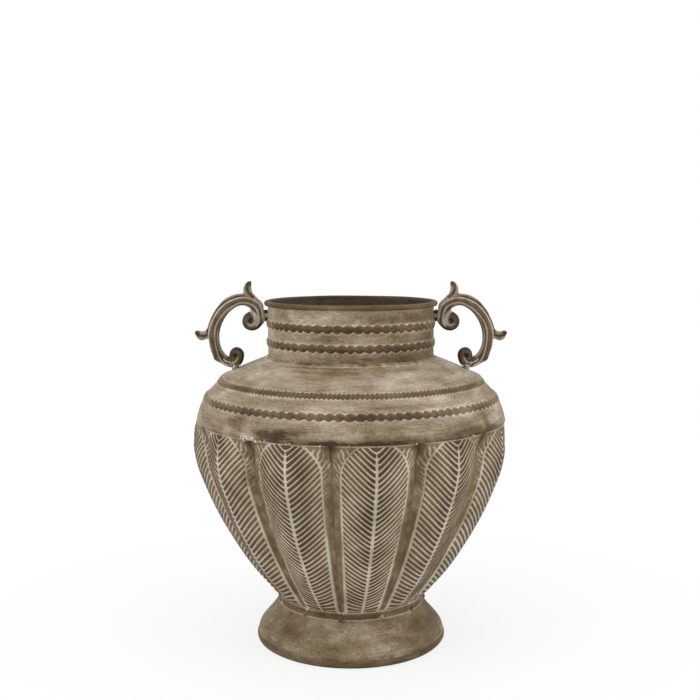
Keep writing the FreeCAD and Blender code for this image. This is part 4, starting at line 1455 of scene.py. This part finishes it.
def floor_paint():
    """Pale paint that the camera sees as white away from the vase, with the vase's soft shadow."""
    material = bpy.data.materials.new("pale floor")
    material.use_nodes = True
    tree = material.node_tree
    tree.nodes.clear()
    path = node(tree, "ShaderNodeLightPath")
    seen = maths(tree, "MAXIMUM", path.outputs["Is Camera Ray"], path.outputs["Is Glossy Ray"])
    paint = node(tree, "ShaderNodeBsdfDiffuse", {"Color": linear(246, 245, 244)})
    glow = node(tree, "ShaderNodeEmission", {"Color": WHITE, "Strength": 1.0})
    place = node(tree, "ShaderNodeNewGeometry").outputs["Position"]
    away = node(tree, "ShaderNodeVectorMath", {0: place}, operation="LENGTH").outputs["Value"]
    start, end = FLOOR_FADE_RUN
    limits = {"Value": away, "From Min": start, "From Max": end, "To Min": FLOOR_FADE_START}
    share = maths(tree, "MULTIPLY", seen, node(tree, "ShaderNodeMapRange", limits).outputs[0])
    shown = node(tree, "ShaderNodeMixShader", {0: share, 1: paint.outputs[0], 2: glow.outputs[0]})
    out = node(tree, "ShaderNodeOutputMaterial")
    tree.links.new(shown.outputs[0], out.inputs["Surface"])
    return material


def make_floor():
    mesh = bpy.data.meshes.new("floor")
    corners = [(x * FLOOR_HALF, y * FLOOR_HALF, 0) for x, y in ((-1, -1), (1, -1), (1, 1), (-1, 1))]
    mesh.from_pydata(corners, [], [(0, 1, 2, 3)])
    mesh.materials.append(floor_paint())
    floor = bpy.data.objects.new("floor", mesh)
    bpy.context.scene.collection.objects.link(floor)


def make_world():
    world = bpy.data.worlds.new("studio")
    world.use_nodes = True
    bpy.context.scene.world = world
    tree = world.node_tree
    tree.nodes.clear()
    path = node(tree, "ShaderNodeLightPath")
    seen = maths(tree, "MAXIMUM", path.outputs["Is Camera Ray"], path.outputs["Is Transmission Ray"])
    seen = maths(tree, "MAXIMUM", seen, path.outputs["Is Glossy Ray"])
    soft = node(tree, "ShaderNodeBackground", {"Color": WHITE, "Strength": WORLD_STRENGTH})
    white = node(tree, "ShaderNodeBackground", {"Color": WHITE, "Strength": 1.0})
    shown = node(tree, "ShaderNodeMixShader", {0: seen, 1: soft.outputs[0], 2: white.outputs[0]})
    out = node(tree, "ShaderNodeOutputWorld")
    tree.links.new(shown.outputs[0], out.inputs["Surface"])


def make_lamp(name, place, size, power):
    lamp = bpy.data.lights.new(name, "AREA")
    lamp.shape, lamp.size, lamp.energy = "SQUARE", size, power
    thing = bpy.data.objects.new(name, lamp)
    thing.location = place
    thing.rotation_euler = (Vector(VASE_MIDDLE) - Vector(place)).to_track_quat("-Z", "Y").to_euler()
    bpy.context.scene.collection.objects.link(thing)


def make_camera():
    camera = bpy.data.cameras.new("camera")
    camera.sensor_width = SENSOR_WIDTH
    camera.lens = SENSOR_WIDTH * FOCAL_PIXELS / PHOTO_SIZE
    camera.shift_x = -AXIS_PIXELS / PHOTO_SIZE
    thing = bpy.data.objects.new("camera", camera)
    thing.location = CAMERA_PLACE
    thing.rotation_euler = (math.pi / 2 - math.atan(HORIZON_PIXELS / FOCAL_PIXELS), 0, 0)
    bpy.context.scene.collection.objects.link(thing)
    bpy.context.scene.camera = thing


make_floor()
make_world()
for lamp in LAMPS:
    make_lamp(*lamp)
make_camera()
bpy.context.scene.view_settings.view_transform = "Standard"
